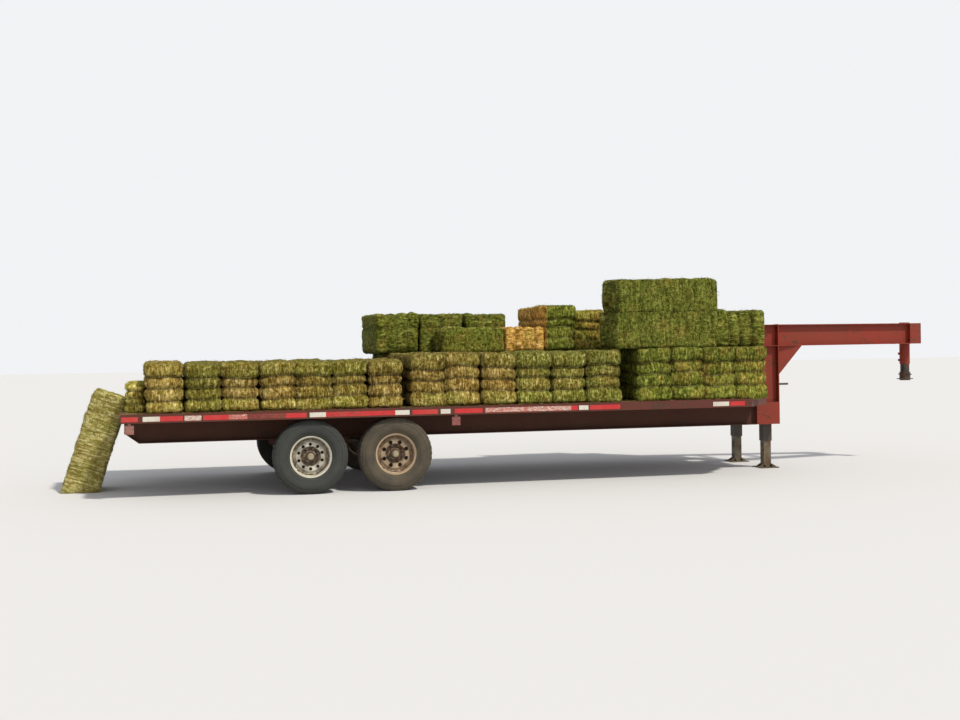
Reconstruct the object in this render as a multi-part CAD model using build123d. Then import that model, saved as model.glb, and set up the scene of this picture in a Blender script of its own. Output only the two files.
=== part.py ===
from build123d import *
import math
import os

os.makedirs("parts", exist_ok=True)

# Gooseneck flatbed trailer with a tandem axle, parked on its jacks, loaded with three-string hay bales.
# Millimetres. X runs forward from the deck's rear edge, Y to the left, Z up from the ground.
# Everything is modelled from that edge, then shifted to put the origin under the middle of the whole length.

# Driving sizes of the deck
deck_length = 7205.0
deck_width = 2590.0
deck_top = 872.0
corner_run = 420.0  # how far back the front corners are cut
corner_inset = 480.0  # how far in the front corners are cut
board_thickness = 40.0
board_count = 13
board_gap = 6.0
seat = 0.3  # gap where one piece rests on or in another

# Perimeter channel
rail_web = 6.0
rail_flange = 42.0
rail_flange_thickness = 5.0
cross_depth = 45.0
board_bottom = deck_top - board_thickness
rail_depth = board_thickness + cross_depth + rail_flange_thickness + seat
rail_bottom = deck_top - rail_depth
header_slice = 60.0  # length of side rail that belongs to the rear header

# Cross-members between the beams and out to the rails
cross_flange = 38.0
cross_wall = 5.0
cross_first = 420.0
cross_last = 585.0  # how far the last one stands behind the deck's front edge
cross_count = 11
cross_pitch = (deck_length - cross_first - cross_last) / (cross_count - 1)

# Main beams
beam_spacing = 1020.0
beam_depth = 305.0
beam_flange = 130.0
beam_flange_thickness = 10.0
beam_web = 7.0
beam_rear = rail_web + seat
beam_taper_run = 150.0
beam_taper_rise = 110.0
beam_top = board_bottom
beam_bottom = beam_top - beam_depth

# Wheels and axles
tyre_radius = 385.0
tyre_width = 235.0
tread_width = 176.0
rim_flange_radius = 216.0
bead_radius = 203.0
bead_half = 76.0
rim_lip = 13.0
drop_radius = 178.0
drop_half = 34.0
rim_wall = 4.0
rim_seat_taper = 2.0
rim_seat_width = 26.0
disc_thickness = 7.0
disc_crown = 30.0
disc_flat_radius = 94.0
disc_crown_radii = (110.0, 148.0)
disc_edge = 8.0  # how far out the disc meets the rim's well
shoulder_drop = 14.0
shoulder_inset = 16.0
bulge_drop = 5.0
bead_swell = (2.0, 5.0)
hub_bore_radius = 25.05
spindle_radius = 25.0
spindle_reach = 52.0
hub_radius = 52.0
hub_back_radius = 60.0
hub_flange_radius = 108.0
hub_flange_thickness = 14.0
hub_shoulder = 46.0
hub_cap_radius = 33.0
hub_cap_round = 8.0
hub_nose = 84.0
drum_radius = 155.0
drum_wall = 8.0
drum_depth = 72.0
drum_gap = 6.0
backing_plate = 5.0
backing_lip = 6.0
axle_tube_radius = 44.5
saddle_half = 50.0
tandem_centre = 2330.0
axle_spread = 889.0
wheel_plane = deck_width / 2 - 40.0 - tyre_width / 2
hub_height = tyre_radius

# Plates under the boards over the tyres
pan_margin = 130.0
pan_thickness = 4.0
pan_lip = 40.0

# Springs, hangers and equalisers
spring_width = 60.0
spring_half = 330.0
spring_camber = 14.0
leaf_thickness = 10.0
leaf_count = 4
leaf_step = 66.0  # how much shorter each leaf is at each end than the one above it
eye_radius = 17.0
pin_radius = 8.0
saddle_height = 8.0
hanger_wall = 8.0
hanger_plate = 6.0
hanger_length = 110.0
cheek_gap = 1.0
equaliser_half = axle_spread / 2 - spring_half
equaliser_height = 54.0
equaliser_wall = 12.0
spring_base = hub_height + axle_tube_radius + saddle_height
spring_top = spring_base + leaf_count * leaf_thickness
spring_arc = (spring_half**2 + spring_camber**2) / (2 * spring_camber)
eye_height = spring_top - leaf_thickness / 2 + spring_camber

# Riser, neck and coupler
riser_depth = 290.0
neck_depth = 254.0
neck_top = 1700.0
neck_flange = 118.0
neck_flange_thickness = 10.0
neck_web = 8.0
neck_reach = 2030.0  # from the riser's front face to the coupler's centre
neck_front_spacing = 330.0
neck_tie_places = (480.0, 1090.0)
boxing_height = 260.0
boxing_thickness = 8.0
neck_tie_width = 80.0
neck_tie_depth = 90.0
gusset_run = 330.0
gusset_drop = 370.0
gusset_thickness = 10.0
coupler_plate = 12.0
coupler_nose = 25.0
coupler_tube_radius = 62.0
coupler_tube_wall = 7.0
coupler_tube_bottom = 1190.0
lock_screw_heights = (50.0, 130.0)
lock_screw_radius = 15.0
lock_screw_reach = 24.0
coupler_inner_radius = coupler_tube_radius - coupler_tube_wall - seat
coupler_inner_top = 1540.0
coupler_bottom = 985.0
coupler_head_radius = 66.0
coupler_head_height = 105.0
coupler_overlap = 20.0
latch_length = 170.0
latch_width = 96.0
latch_lift = 14.0
latch_thickness = 10.0
chain_eye_radius = 26.0
chain_eye_wire = 7.0
chain_eye_sink = 4.0
chain_eye_drop = 30.0
ball_bore_radius = 29.75
ball_bore_depth = 48.0

# Jacks
jack_tube = 108.0
jack_wall = 8.0
jack_tube_bottom = 320.0
jack_tube_top = 1180.0
jack_running_gap = 0.3
jack_setback = 195.0  # from the riser's rear face to the jack's middle
jack_leg_wall = 6.0
jack_engaged = 260.0
jack_foot = 230.0
jack_foot_thickness = 12.0
foot_rib_height = 40.0
foot_rib_thickness = 8.0
jack_bracket_heights = (560.0, 760.0, 1000.0)
jack_bracket_thickness = 12.0
gear_box = (126.0, 120.0, 150.0)
gear_round = 14.0
crank_radius = 12.0
crank_stub = 90.0
crank_throw = 190.0
crank_handle = 150.0
brace_size = 70.0
brace_wall = 4.0
brace_height = 560.0

# Stake pockets inside the side rails
pocket_lead = 265.0  # how far each pocket starts in front of a cross-member
pocket_length = 90.0
pocket_depth = 30.0
pocket_wall = 4.0

# Lamps and marker plates
marker_size = 90.0
marker_places = (35.0, 3368.0)
marker_inset = 20.0
marker_thickness = 4.0
marker_drop = 20.0  # length of the tab between rail and plate
marker_tab = 30.0
lamp_places = (1010.0, 1140.0)
lamp_radius = 39.0
lamp_stand = 14.0

# Three-string bales
bale_on_edge = 560.0
bale_flat = 380.0
# The rows at the rear are pressed lower, and the near row's front group stands taller
rear_bale_height = 515.0
rear_row_height = 500.0
front_row_height = 586.0
far_rear_height = 470.0
low_bale_height = 300.0
second_height = 388.0
crosswise_height = 395.0
top_height = 358.0
bale_length = 1180.0
bale_slabs = 4
string_notch = 18.0
bale_gap = 8.0
aisle = 180.0  # clear width along the middle of the load

riser_rear = deck_length + seat
riser_front = riser_rear + riser_depth
coupler_x = riser_front + neck_reach

# The leaning bale
lean_angle = 18.0
lean_length = 1145.0
lean_width = 360.0
lean_depth = 560.0
lean_middle = -20.0
lean_sin = math.sin(math.radians(lean_angle))
lean_cos = math.cos(math.radians(lean_angle))
lean_foot = -seat - lean_width * lean_cos - (deck_top + lean_width * lean_sin) * lean_sin / lean_cos


def box_between(low, high):
    size = [b - a for a, b in zip(low, high)]
    return Pos(*low) * Box(*size, align=(Align.MIN, Align.MIN, Align.MIN))


def face_from(points, plane):
    return plane * make_face(Polyline(*points, close=True))


def rod(radius, start, end):
    """A round bar from one point to another."""
    a, b = Vector(*start), Vector(*end)
    return extrude(Plane(a, z_dir=b - a) * Circle(radius), (b - a).length)


def i_section(depth, flange, flange_thickness, web):
    shape = Rectangle(web, depth)
    for side in (-1, 1):
        shape += Pos(0, side * (depth - flange_thickness) / 2) * Rectangle(flange, flange_thickness)
    return shape


def mirrored(shape):
    return shape + mirror(shape, Plane.XZ)


# Deck outline and what is cut from it
half_width = deck_width / 2
corner_x = deck_length - corner_run
outline_points = [
    (0, -half_width),
    (corner_x, -half_width),
    (deck_length, -half_width + corner_inset),
    (deck_length, half_width - corner_inset),
    (corner_x, half_width),
    (0, half_width),
]
outline = make_face(Polyline(*outline_points, close=True))
pan_first = tandem_centre - axle_spread / 2 - tyre_radius - pan_margin
pan_last = tandem_centre + axle_spread / 2 + tyre_radius + pan_margin


def inset_outline(distance):
    """The outline drawn in by a distance all round. Each corner moves along its own bisector."""
    points = []
    for index, corner in enumerate(outline_points):
        before = Vector(*corner) - Vector(*outline_points[index - 1])
        after = Vector(*outline_points[(index + 1) % len(outline_points)]) - Vector(*corner)
        normals = [Vector(-way.Y, way.X).normalized() for way in (before, after)]
        shift = (normals[0] + normals[1]) * (distance / (1 + normals[0].dot(normals[1])))
        points.append((corner[0] + shift.X, corner[1] + shift.Y))
    return make_face(Polyline(*points, close=True))


def perimeter_ring(thickness, low, high):
    return Pos(0, 0, low) * extrude(outline - inset_outline(thickness), high - low)


def make_perimeter():
    ring = perimeter_ring(rail_web, rail_bottom, deck_top)
    ring += perimeter_ring(rail_flange, rail_bottom, rail_bottom + rail_flange_thickness)
    ring += perimeter_ring(rail_flange, deck_top - rail_flange_thickness, deck_top)
    return ring


def make_rails():
    ring = make_perimeter()
    low, high = rail_bottom - 1, deck_top + 1
    rear = ring & box_between((-1, -half_width - 1, low), (header_slice, half_width + 1, high))
    left = ring & box_between((header_slice, 0, low), (corner_x, half_width + 1, high))
    right = ring & box_between((header_slice, -half_width - 1, low), (corner_x, 0, high))
    front = ring & box_between((corner_x, -half_width - 1, low), (deck_length + 1, half_width + 1, high))
    for side in (-1, 1):
        middle, half = side * beam_spacing / 2, beam_flange / 2 + seat
        near, far = middle - half, middle + half
        flange_top = rail_bottom + rail_flange_thickness
        rear -= box_between((rail_web, near, low), (rail_flange + 1, far, flange_top))
        front -= box_between((deck_length - rail_flange - 1, near, low), (deck_length - rail_web, far, flange_top))
    return rear, add_pockets(left, 1), add_pockets(right, -1), front


def pocket_box(x, side, wall, low, high):
    """The space of one stake pocket against the rail's web, grown by a wall where asked."""
    web = half_width - rail_web
    edges = sorted((side * (web - pocket_depth - wall), side * web))
    return box_between((x - wall, edges[0], low), (x + pocket_length + wall, edges[1], high))


def add_pockets(rail, side):
    """Stake pockets between the outriggers, open through both flanges. None over the wheels."""
    places = []
    for index in range(cross_count - 1):
        x = cross_first + index * cross_pitch + pocket_lead
        if x + pocket_length < pan_first - pan_thickness or x > pan_last + pan_thickness:
            places.append(x)
    low, high = rail_bottom + rail_flange_thickness, deck_top - rail_flange_thickness
    for x in places:
        rail += pocket_box(x, side, pocket_wall, low, high)
    for x in places:
        rail -= pocket_box(x, side, 0, rail_bottom - 1, deck_top + 1)
    return rail


def make_boards():
    """Boards run lengthwise inside the rails and rest on the cross-members."""
    inner = Pos(0, 0, board_bottom) * extrude(inset_outline(rail_flange + board_gap), board_thickness)
    across = deck_width - 2 * (rail_flange + board_gap)
    board_width = (across - board_gap * (board_count - 1)) / board_count
    boards = []
    for index in range(board_count):
        low = -across / 2 + index * (board_width + board_gap)
        strip = box_between((-1, low, board_bottom - 1), (deck_length + 1, low + board_width, deck_top + 1))
        boards += (inner & strip).solids()
    return Compound(children=boards)


def make_main_beam():
    """One main beam on the left, cut up at the rear to a shallower end."""
    section = i_section(beam_depth, beam_flange, beam_flange_thickness, beam_web)
    middle = (beam_top + beam_bottom) / 2
    start = Plane(origin=(beam_rear, beam_spacing / 2, middle), x_dir=(0, 1, 0), z_dir=(1, 0, 0))
    beam = extrude(start * section, deck_length - rail_web - seat - beam_rear)
    ramp = [
        (beam_rear - 1, beam_bottom - 1),
        (beam_rear + beam_taper_run, beam_bottom - 1),
        (beam_rear + beam_taper_run, beam_bottom),
        (beam_rear - 1, beam_bottom + beam_taper_rise),
    ]
    side = beam_spacing / 2 - beam_flange
    wedge = extrude(face_from(ramp, Plane.XZ.offset(-side)), -2 * beam_flange)
    beam -= wedge
    slope = math.atan2(beam_taper_rise, beam_taper_run)
    sole = [
        (beam_rear, beam_bottom + beam_taper_rise),
        (beam_rear + beam_taper_run, beam_bottom),
        (beam_rear + beam_taper_run, beam_bottom + beam_flange_thickness),
        (beam_rear, beam_bottom + beam_taper_rise + beam_flange_thickness / math.cos(slope)),
    ]
    side = beam_spacing / 2 - beam_flange / 2
    return beam + extrude(face_from(sole, Plane.XZ.offset(-side)), -beam_flange)


def channel(length):
    """A channel laid along Y from zero, its web at X zero and its top at Z zero."""
    shape = Pos(cross_wall / 2, -cross_depth / 2) * Rectangle(cross_wall, cross_depth)
    for z in (-cross_wall / 2, -cross_depth + cross_wall / 2):
        shape += Pos(cross_flange / 2, z) * Rectangle(cross_flange, cross_wall)
    section = Plane(origin=(0, 0, 0), x_dir=(1, 0, 0), z_dir=(0, -1, 0)) * shape
    return extrude(section, -length)


def make_cross_members():
    """Short channels between the beams' webs, and outriggers to the rails except over the wheels."""
    web_inner = beam_spacing / 2 - beam_web / 2
    web_outer = beam_spacing / 2 + beam_web / 2
    rail_inner = half_width - rail_web
    cope_low = board_bottom - beam_flange_thickness - seat
    solids = []
    for index in range(cross_count):
        x = cross_first + index * cross_pitch
        stretches = [(-web_inner, web_inner)]
        if not pan_first - cross_flange < x < pan_last:
            stretches += [(web_outer, rail_inner), (-rail_inner, -web_outer)]
        for low, high in stretches:
            piece = Pos(x, low + seat, board_bottom) * channel(high - low - 2 * seat)
            for side in (-1, 1):
                middle = side * beam_spacing / 2
                cope = beam_flange / 2 + seat
                piece -= box_between(
                    (x - 1, middle - cope, cope_low),
                    (x + cross_flange + 1, middle + cope, board_bottom + 1),
                )
            solids += piece.solids()
    return Compound(children=solids)


def make_wheel_pans():
    """Plates under the boards over the tyres, turned down at both ends."""
    low_y = beam_spacing / 2 + beam_flange / 2 + seat
    high_y = half_width - rail_web - seat
    top = board_bottom
    plate = box_between((pan_first, low_y, top - pan_thickness), (pan_last, high_y, top))
    for x in (pan_first, pan_last - pan_thickness):
        plate += box_between((x, low_y, top - pan_lip), (x + pan_thickness, high_y, top))
    return mirrored(plate)


def wheel_frame(x, side):
    """Puts a shape made about Z, outer side up, on an axle end."""
    return Plane(origin=(x, side * wheel_plane, hub_height), x_dir=(1, 0, 0), z_dir=(0, side, 0))


def turned(points):
    return revolve(Plane.XZ * make_face(Polyline(*points, close=True)), Axis.Z)


def make_tyre():
    half = tyre_width / 2
    bead_y = bead_half - seat
    lip_y = bead_half + rim_lip + seat
    bead = bead_radius + seat
    foot, neck = [rim_flange_radius + swell for swell in bead_swell]
    bulge = (rim_flange_radius + tyre_radius) / 2 - bulge_drop
    shoulder = tyre_radius - shoulder_drop
    side = half - shoulder_inset
    tread = tread_width / 2
    with BuildSketch(Plane.XZ) as section:
        with BuildLine():
            Polyline((bead, -bead_y), (bead, bead_y), (foot, bead_y), (neck, lip_y))
            ThreePointArc((neck, lip_y), (bulge, half), (shoulder, side))
            Polyline((shoulder, side), (tyre_radius, tread), (tyre_radius, -tread), (shoulder, -side))
            ThreePointArc((shoulder, -side), (bulge, -half), (neck, -lip_y))
            Polyline((neck, -lip_y), (foot, -bead_y), (bead, -bead_y))
        make_face()
    return revolve(section.sketch, Axis.Z)


def make_rim(hole_count, hole_radius, hole_circle):
    lip, seat_low, well = bead_half + rim_lip, bead_half - rim_seat_width, drop_half
    # Columns: radius on the tyre's side, its place across, place across of the inner side
    profile = [
        (rim_flange_radius, lip, lip),
        (rim_flange_radius, bead_half, bead_half + rim_wall),
        (bead_radius, bead_half, bead_half + rim_wall),
        (bead_radius - rim_seat_taper, seat_low, seat_low),
        (drop_radius, well, well),
    ]
    outer = [(radius, across) for radius, across, inner in profile]
    outer += [(radius, -across) for radius, across, inner in reversed(profile)]
    inner = [(radius - rim_wall, -inner) for radius, across, inner in profile]
    inner += [(radius - rim_wall, inner) for radius, across, inner in reversed(profile)]
    rim = turned(outer + inner)
    near, far = disc_crown_radii
    back = [
        (hub_radius + seat, 0),
        (disc_flat_radius, 0),
        (near, disc_crown),
        (far, disc_crown),
        (drop_radius - rim_wall / 2, disc_edge),
    ]
    disc = turned(back + [(radius, across + disc_thickness) for radius, across in reversed(back)])
    for index in range(hole_count):
        turn = Rot(0, 0, 360 * (index + 0.5) / hole_count)
        disc -= turn * Pos(hole_circle, 0, disc_crown) * Cylinder(hole_radius, 4 * disc_crown)
    return rim + disc


def make_hub():
    """Hub, its cap and the brake drum behind the wheel's disc."""
    bore_end = spindle_reach + 4
    return turned([
        (hub_bore_radius, -drum_depth),
        (hub_back_radius, -drum_depth),
        (hub_back_radius, -hub_flange_thickness - drum_wall),
        (drum_radius - drum_wall, -hub_flange_thickness - drum_wall),
        (drum_radius - drum_wall, -drum_depth),
        (drum_radius, -drum_depth),
        (drum_radius, -hub_flange_thickness),
        (hub_flange_radius, -hub_flange_thickness),
        (hub_flange_radius, -seat),
        (hub_radius, -seat),
        (hub_radius, hub_shoulder),
        (hub_cap_radius, hub_shoulder + 4),
        (hub_cap_radius, hub_nose - hub_cap_round),
        (hub_cap_radius - hub_cap_round, hub_nose),
        (0, hub_nose),
        (0, bore_end),
        (hub_bore_radius, bore_end),
    ])


def make_axle(x):
    end = wheel_plane - drum_depth - drum_gap
    inner = end - backing_plate
    axle = rod(axle_tube_radius, (x, -inner, hub_height), (x, inner, hub_height))
    for side in (-1, 1):
        axle += rod(spindle_radius, (x, side * (inner - spindle_radius), hub_height),
                    (x, side * (wheel_plane + spindle_reach), hub_height))
        axle += rod(drum_radius + backing_lip, (x, side * inner, hub_height), (x, side * end, hub_height))
        axle += box_between(
            (x - saddle_half, side * beam_spacing / 2 - spring_width / 2, hub_height),
            (x + saddle_half, side * beam_spacing / 2 + spring_width / 2, spring_base),
        )
    return axle


def make_leaf(x, y, order):
    """One curved leaf, its middle lowest. Order zero is the top leaf, which carries the eyes."""
    half = spring_half - order * leaf_step
    centre = spring_top + spring_arc - leaf_thickness
    near, far = spring_arc - leaf_thickness + order * leaf_thickness, spring_arc + order * leaf_thickness
    turn = half / spring_arc

    def at(radius, angle):
        return (x + radius * math.sin(angle), centre - radius * math.cos(angle))

    with BuildSketch(Plane.XZ.offset(-y)) as section:
        with BuildLine():
            ThreePointArc(at(near, -turn), at(near, 0), at(near, turn))
            Line(at(near, turn), at(far, turn))
            ThreePointArc(at(far, turn), at(far, 0), at(far, -turn))
            Line(at(far, -turn), at(near, -turn))
        make_face()
    return extrude(section.sketch, -spring_width)


def make_spring(x, side):
    """Curved leaves in steps, the longest on top with an eye rolled at each end."""
    y = side * beam_spacing / 2 - spring_width / 2
    spring = make_leaf(x, y, 0)
    for order in range(1, leaf_count):
        spring += make_leaf(x, y, order)
    ends = (x - spring_half, x + spring_half)
    for eye_x in ends:
        spring += rod(eye_radius, (eye_x, y, eye_height), (eye_x, y + spring_width, eye_height))
    bore, far = pin_radius + seat, y + spring_width + 1
    for eye_x in ends:
        spring -= rod(bore, (eye_x, y - 1, eye_height), (eye_x, far, eye_height))
    return spring


def make_springs():
    solids = []
    for x in (tandem_centre - axle_spread / 2, tandem_centre + axle_spread / 2):
        for side in (-1, 1):
            solids += make_spring(x, side).solids()
    return Compound(children=solids)


def make_hanger(x, side, inner):
    """Two cheeks welded under the beam, and their pin. Inner is half the clear width between them."""
    middle = side * beam_spacing / 2
    half = hanger_length / 2
    outer = inner + hanger_wall
    drop = eye_height - eye_radius - pin_radius / 2
    piece = box_between((x - half, middle - outer, beam_bottom - hanger_plate),
                        (x + half, middle + outer, beam_bottom))
    shape = [(x - half, beam_bottom), (x + half, beam_bottom), (x + half / 2, drop), (x - half / 2, drop)]
    for low in (middle - outer, middle + inner):
        piece += extrude(face_from(shape, Plane.XZ.offset(-low)), -hanger_wall)
    piece += rod(pin_radius, (x, middle - outer, eye_height), (x, middle + outer, eye_height))
    return piece


def make_hangers():
    spring_side = spring_width / 2 + cheek_gap
    rocker_side = spring_side + equaliser_wall + cheek_gap
    # Columns: place along X, half the clear width between the cheeks
    hanger_table = [
        (tandem_centre - axle_spread / 2 - spring_half, spring_side),
        (tandem_centre + axle_spread / 2 + spring_half, spring_side),
        (tandem_centre, rocker_side),
    ]
    solids = []
    for side in (-1, 1):
        for x, inner in hanger_table:
            solids += make_hanger(x, side, inner).solids()
    return Compound(children=solids)


def make_equaliser(side):
    """Two rocker plates and a boss on the centre hanger's pin, with pins through the springs' inner eyes."""
    middle = side * beam_spacing / 2
    inner = spring_width / 2 + cheek_gap
    half_end, end = equaliser_height / 4, equaliser_half + eye_radius
    shape = [
        (tandem_centre - end, eye_height - half_end),
        (tandem_centre, eye_height - 2 * half_end),
        (tandem_centre + end, eye_height - half_end),
        (tandem_centre + end, eye_height + half_end),
        (tandem_centre - end, eye_height + half_end),
    ]
    near, far = middle - inner, middle + inner
    rocker = rod(eye_radius, (tandem_centre, near, eye_height), (tandem_centre, far, eye_height))
    for low in (middle - inner - equaliser_wall, middle + inner):
        rocker += extrude(face_from(shape, Plane.XZ.offset(-low)), -equaliser_wall)
    for x in (tandem_centre - equaliser_half, tandem_centre + equaliser_half):
        rocker += rod(pin_radius, (x, near, eye_height), (x, far, eye_height))
    through = inner + equaliser_wall + 1
    return rocker - rod(pin_radius + seat, (tandem_centre, middle - through, eye_height),
                        (tandem_centre, middle + through, eye_height))


def make_equalisers():
    solids = []
    for side in (-1, 1):
        solids += make_equaliser(side).solids()
    return Compound(children=solids)


def make_riser():
    """The upright at the deck's front on the left, boxed in at its foot on the outer side."""
    section = i_section(riser_depth, beam_flange, neck_flange_thickness, neck_web)
    middle = (riser_rear + riser_front) / 2
    base = Plane(origin=(middle, beam_spacing / 2, beam_bottom), x_dir=(0, 1, 0), z_dir=(0, 0, 1))
    riser = extrude(base * section, neck_top - beam_bottom)
    outer = beam_spacing / 2 + beam_flange / 2
    low_x, high_x = riser_rear + neck_flange_thickness, riser_front - neck_flange_thickness
    boxing_top = beam_bottom + boxing_height
    riser += box_between((low_x, outer - boxing_thickness, beam_bottom), (high_x, outer, boxing_top))
    for low in (beam_bottom, neck_top - neck_depth, neck_top - boxing_thickness):
        riser += box_between((low_x, outer - beam_flange, low), (high_x, outer, low + boxing_thickness))
    return riser


def make_neck_beam():
    """One neck beam on the left, running forward and in from the riser's front face to the coupler."""
    section = i_section(neck_depth, neck_flange, neck_flange_thickness, neck_web)
    run = neck_reach - coupler_tube_radius
    swing = (beam_spacing - neck_front_spacing) / 2
    overrun = 200.0
    direction = Vector(run, -swing, 0).normalized()
    start = Vector(riser_front, beam_spacing / 2, neck_top - neck_depth / 2) - direction * overrun
    plane = Plane(origin=start, x_dir=Vector(-direction.Y, direction.X, 0), z_dir=direction)
    beam = extrude(plane * section, run + 2 * overrun)
    keep = box_between(
        (riser_front, -deck_width, 0),
        (coupler_x - coupler_tube_radius, deck_width, 2 * neck_top),
    )
    return beam & keep


def make_gusset():
    """A knee plate with an edge strip, in the corner under the neck in front of the riser."""
    top = neck_top - neck_depth
    corner = (riser_front, top)
    shape = [corner, (riser_front + gusset_run, top), (riser_front, top - gusset_drop)]
    side = beam_spacing / 2 + gusset_thickness / 2
    return extrude(face_from(shape, Plane.XZ.offset(-side)), gusset_thickness)


def make_coupler_tube():
    """The outer tube down from the neck, closed on top, with two lock screws' bosses on its rear."""
    top = neck_top + coupler_plate
    tube = rod(coupler_tube_radius, (coupler_x, 0, coupler_tube_bottom), (coupler_x, 0, top))
    boss_end = coupler_x - coupler_tube_radius - lock_screw_reach
    for lift in lock_screw_heights:
        z = coupler_tube_bottom + lift
        tube += rod(lock_screw_radius, (coupler_x, 0, z), (boss_end, 0, z))
    return tube - rod(coupler_tube_radius - coupler_tube_wall, (coupler_x, 0, coupler_tube_bottom - 1),
                      (coupler_x, 0, neck_top))


def make_coupler():
    """The inner tube, the head with its ball socket, the latch plate and two chain eyes."""
    head_top = coupler_bottom + coupler_head_height
    start = head_top - coupler_overlap
    body = rod(coupler_inner_radius, (coupler_x, 0, start), (coupler_x, 0, coupler_inner_top))
    body += rod(coupler_head_radius, (coupler_x, 0, coupler_bottom), (coupler_x, 0, head_top))
    low = coupler_bottom + latch_lift
    body += box_between((coupler_x - latch_length / 2, -latch_width / 2, low),
                        (coupler_x + latch_length / 2, latch_width / 2, low + latch_thickness))
    for side in (-1, 1):
        y = side * (coupler_head_radius + chain_eye_radius - chain_eye_sink)
        body += Pos(coupler_x, y, head_top - chain_eye_drop) * Torus(chain_eye_radius, chain_eye_wire)
    return body - rod(ball_bore_radius, (coupler_x, 0, coupler_bottom - 1),
                      (coupler_x, 0, coupler_bottom + ball_bore_depth))


jack_x = riser_rear + jack_setback
jack_y = beam_spacing / 2 - beam_flange / 2 - jack_tube / 2 - seat
leg_width = jack_tube - 2 * jack_wall - 2 * jack_running_gap


def make_jack_tube():
    """The outer tube on the left, its gear housing and its brackets to the riser's web."""
    outer = box_between(
        (jack_x - jack_tube / 2, jack_y - jack_tube / 2, jack_tube_bottom),
        (jack_x + jack_tube / 2, jack_y + jack_tube / 2, jack_tube_top),
    )
    inner = jack_tube / 2 - jack_wall
    tube = outer - box_between(
        (jack_x - inner, jack_y - inner, jack_tube_bottom - 1),
        (jack_x + inner, jack_y + inner, jack_tube_top - jack_wall - gear_box[2]),
    )
    # A plate runs from the tube over the riser's flange edge to its web
    web = beam_spacing / 2 - neck_web / 2 - seat
    rear = riser_rear + neck_flange_thickness + seat
    for height in jack_bracket_heights:
        tube += box_between((rear, jack_y + jack_tube / 2 - 1, height),
                            (jack_x + jack_tube / 2, web, height + jack_bracket_thickness))
    housing = box_between(
        (jack_x - jack_tube / 2, jack_y - gear_box[1] / 2, jack_tube_top - gear_box[2] / 2),
        (jack_x - jack_tube / 2 + gear_box[0], jack_y + jack_tube / 2, jack_tube_top + gear_box[2] / 3),
    )
    return tube + chamfer(housing.edges().group_by(Axis.Z)[-1], gear_round)


def make_jack_shaft():
    """One shaft joins both gear housings."""
    inner = jack_y - gear_box[1] / 2 - seat
    return rod(crank_radius, (jack_x, -inner, jack_tube_top), (jack_x, inner, jack_tube_top))


def make_jack_handle():
    """The crank on the right housing's front face: a stub, an arm hanging down and a grip."""
    face = jack_x - jack_tube / 2 + gear_box[0] + seat
    arm = face + crank_stub - crank_radius
    y, low = -jack_y, jack_tube_top - crank_throw
    handle = rod(crank_radius, (face, y, jack_tube_top), (face + crank_stub, y, jack_tube_top))
    handle += rod(crank_radius - 2, (arm, y, jack_tube_top), (arm, y, low))
    return handle + rod(crank_radius, (arm, y, low), (arm + crank_handle, y, low))


def make_jack_brace():
    """A square tube between the two jack tubes."""
    inner = jack_y - jack_tube / 2 - seat
    half = brace_size / 2
    tube = Box(brace_size, 2 * inner, brace_size)
    tube -= Box(brace_size - 2 * brace_wall, 2 * inner + 2, brace_size - 2 * brace_wall)
    return Pos(jack_x, 0, brace_height + half) * tube


def make_jack_leg(side):
    half = leg_width / 2
    top = jack_tube_bottom + jack_engaged
    y = side * jack_y
    leg = box_between((jack_x - half, y - half, 0), (jack_x + half, y + half, top))
    foot = jack_foot / 2
    leg += box_between((jack_x - foot, y - foot, 0), (jack_x + foot, y + foot, jack_foot_thickness))
    rib = [(-foot, 0), (foot, 0), (half, foot_rib_height), (-half, foot_rib_height)]
    plate = extrude(face_from(rib, Plane.XZ), foot_rib_thickness / 2, both=True)
    for turn in (0, 90):
        for way in (-1, 1):
            reach = way * (half - foot_rib_thickness / 2)
            leg += Pos(jack_x, y, jack_foot_thickness) * Rot(0, 0, turn) * Pos(0, reach, 0) * plate
    inner = half - jack_leg_wall
    hollow = Box(2 * inner, 2 * inner, top, align=(Align.CENTER, Align.CENTER, Align.MIN))
    return leg - Pos(jack_x, y, jack_foot_thickness) * hollow


def make_bale(size, strings_along):
    """A bale as four pressed slabs, drawn in between them where the three strings pass round it.

    size is along X, Y and Z, and strings_along is the axis that the slabs are stacked on.
    """
    order = {"X": (2, 1, 0), "Y": (0, 2, 1), "Z": (0, 1, 2)}[strings_along]
    turn = {"X": Rot(0, 90, 0), "Y": Rot(90, 0, 0), "Z": Rot(0, 0, 0)}[strings_along]
    across, along, stack = (size[axis] for axis in order)
    slab_height = stack / bale_slabs
    slab = Box(across, along, slab_height)
    slab = chamfer(slab.edges().filter_by(Axis.Z, reverse=True), string_notch)
    bale = None
    for index in range(bale_slabs):
        placed = Pos(0, 0, (index - (bale_slabs - 1) / 2) * slab_height) * slab
        bale = placed if bale is None else bale + placed
    return turn * bale


near_high, far_low = -aisle / 2, aisle / 2
near_low, far_high = near_high - bale_length, far_low + bale_length
layer_one = deck_top + bale_on_edge
front_layer = deck_top + front_row_height
layer_two = front_layer + second_height
lengthwise_low = near_low + 10
middle_low, middle_high = near_high - 390, near_high + 170
crosswise_low, crosswise_high = near_low + 110, near_high + 110
front_row_rear = deck_length - 1735  # the near row's front group runs from here to the deck's front
middle_row_rear = 2920.0
middle_pitch = 388.0
middle_count = int((front_row_rear - 210 - middle_row_rear) / middle_pitch)
far_row_rear = 640.0
far_pitch = 384.0
far_count = int((deck_length - 410 - far_row_rear) / far_pitch)
far_split = 6

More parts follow.
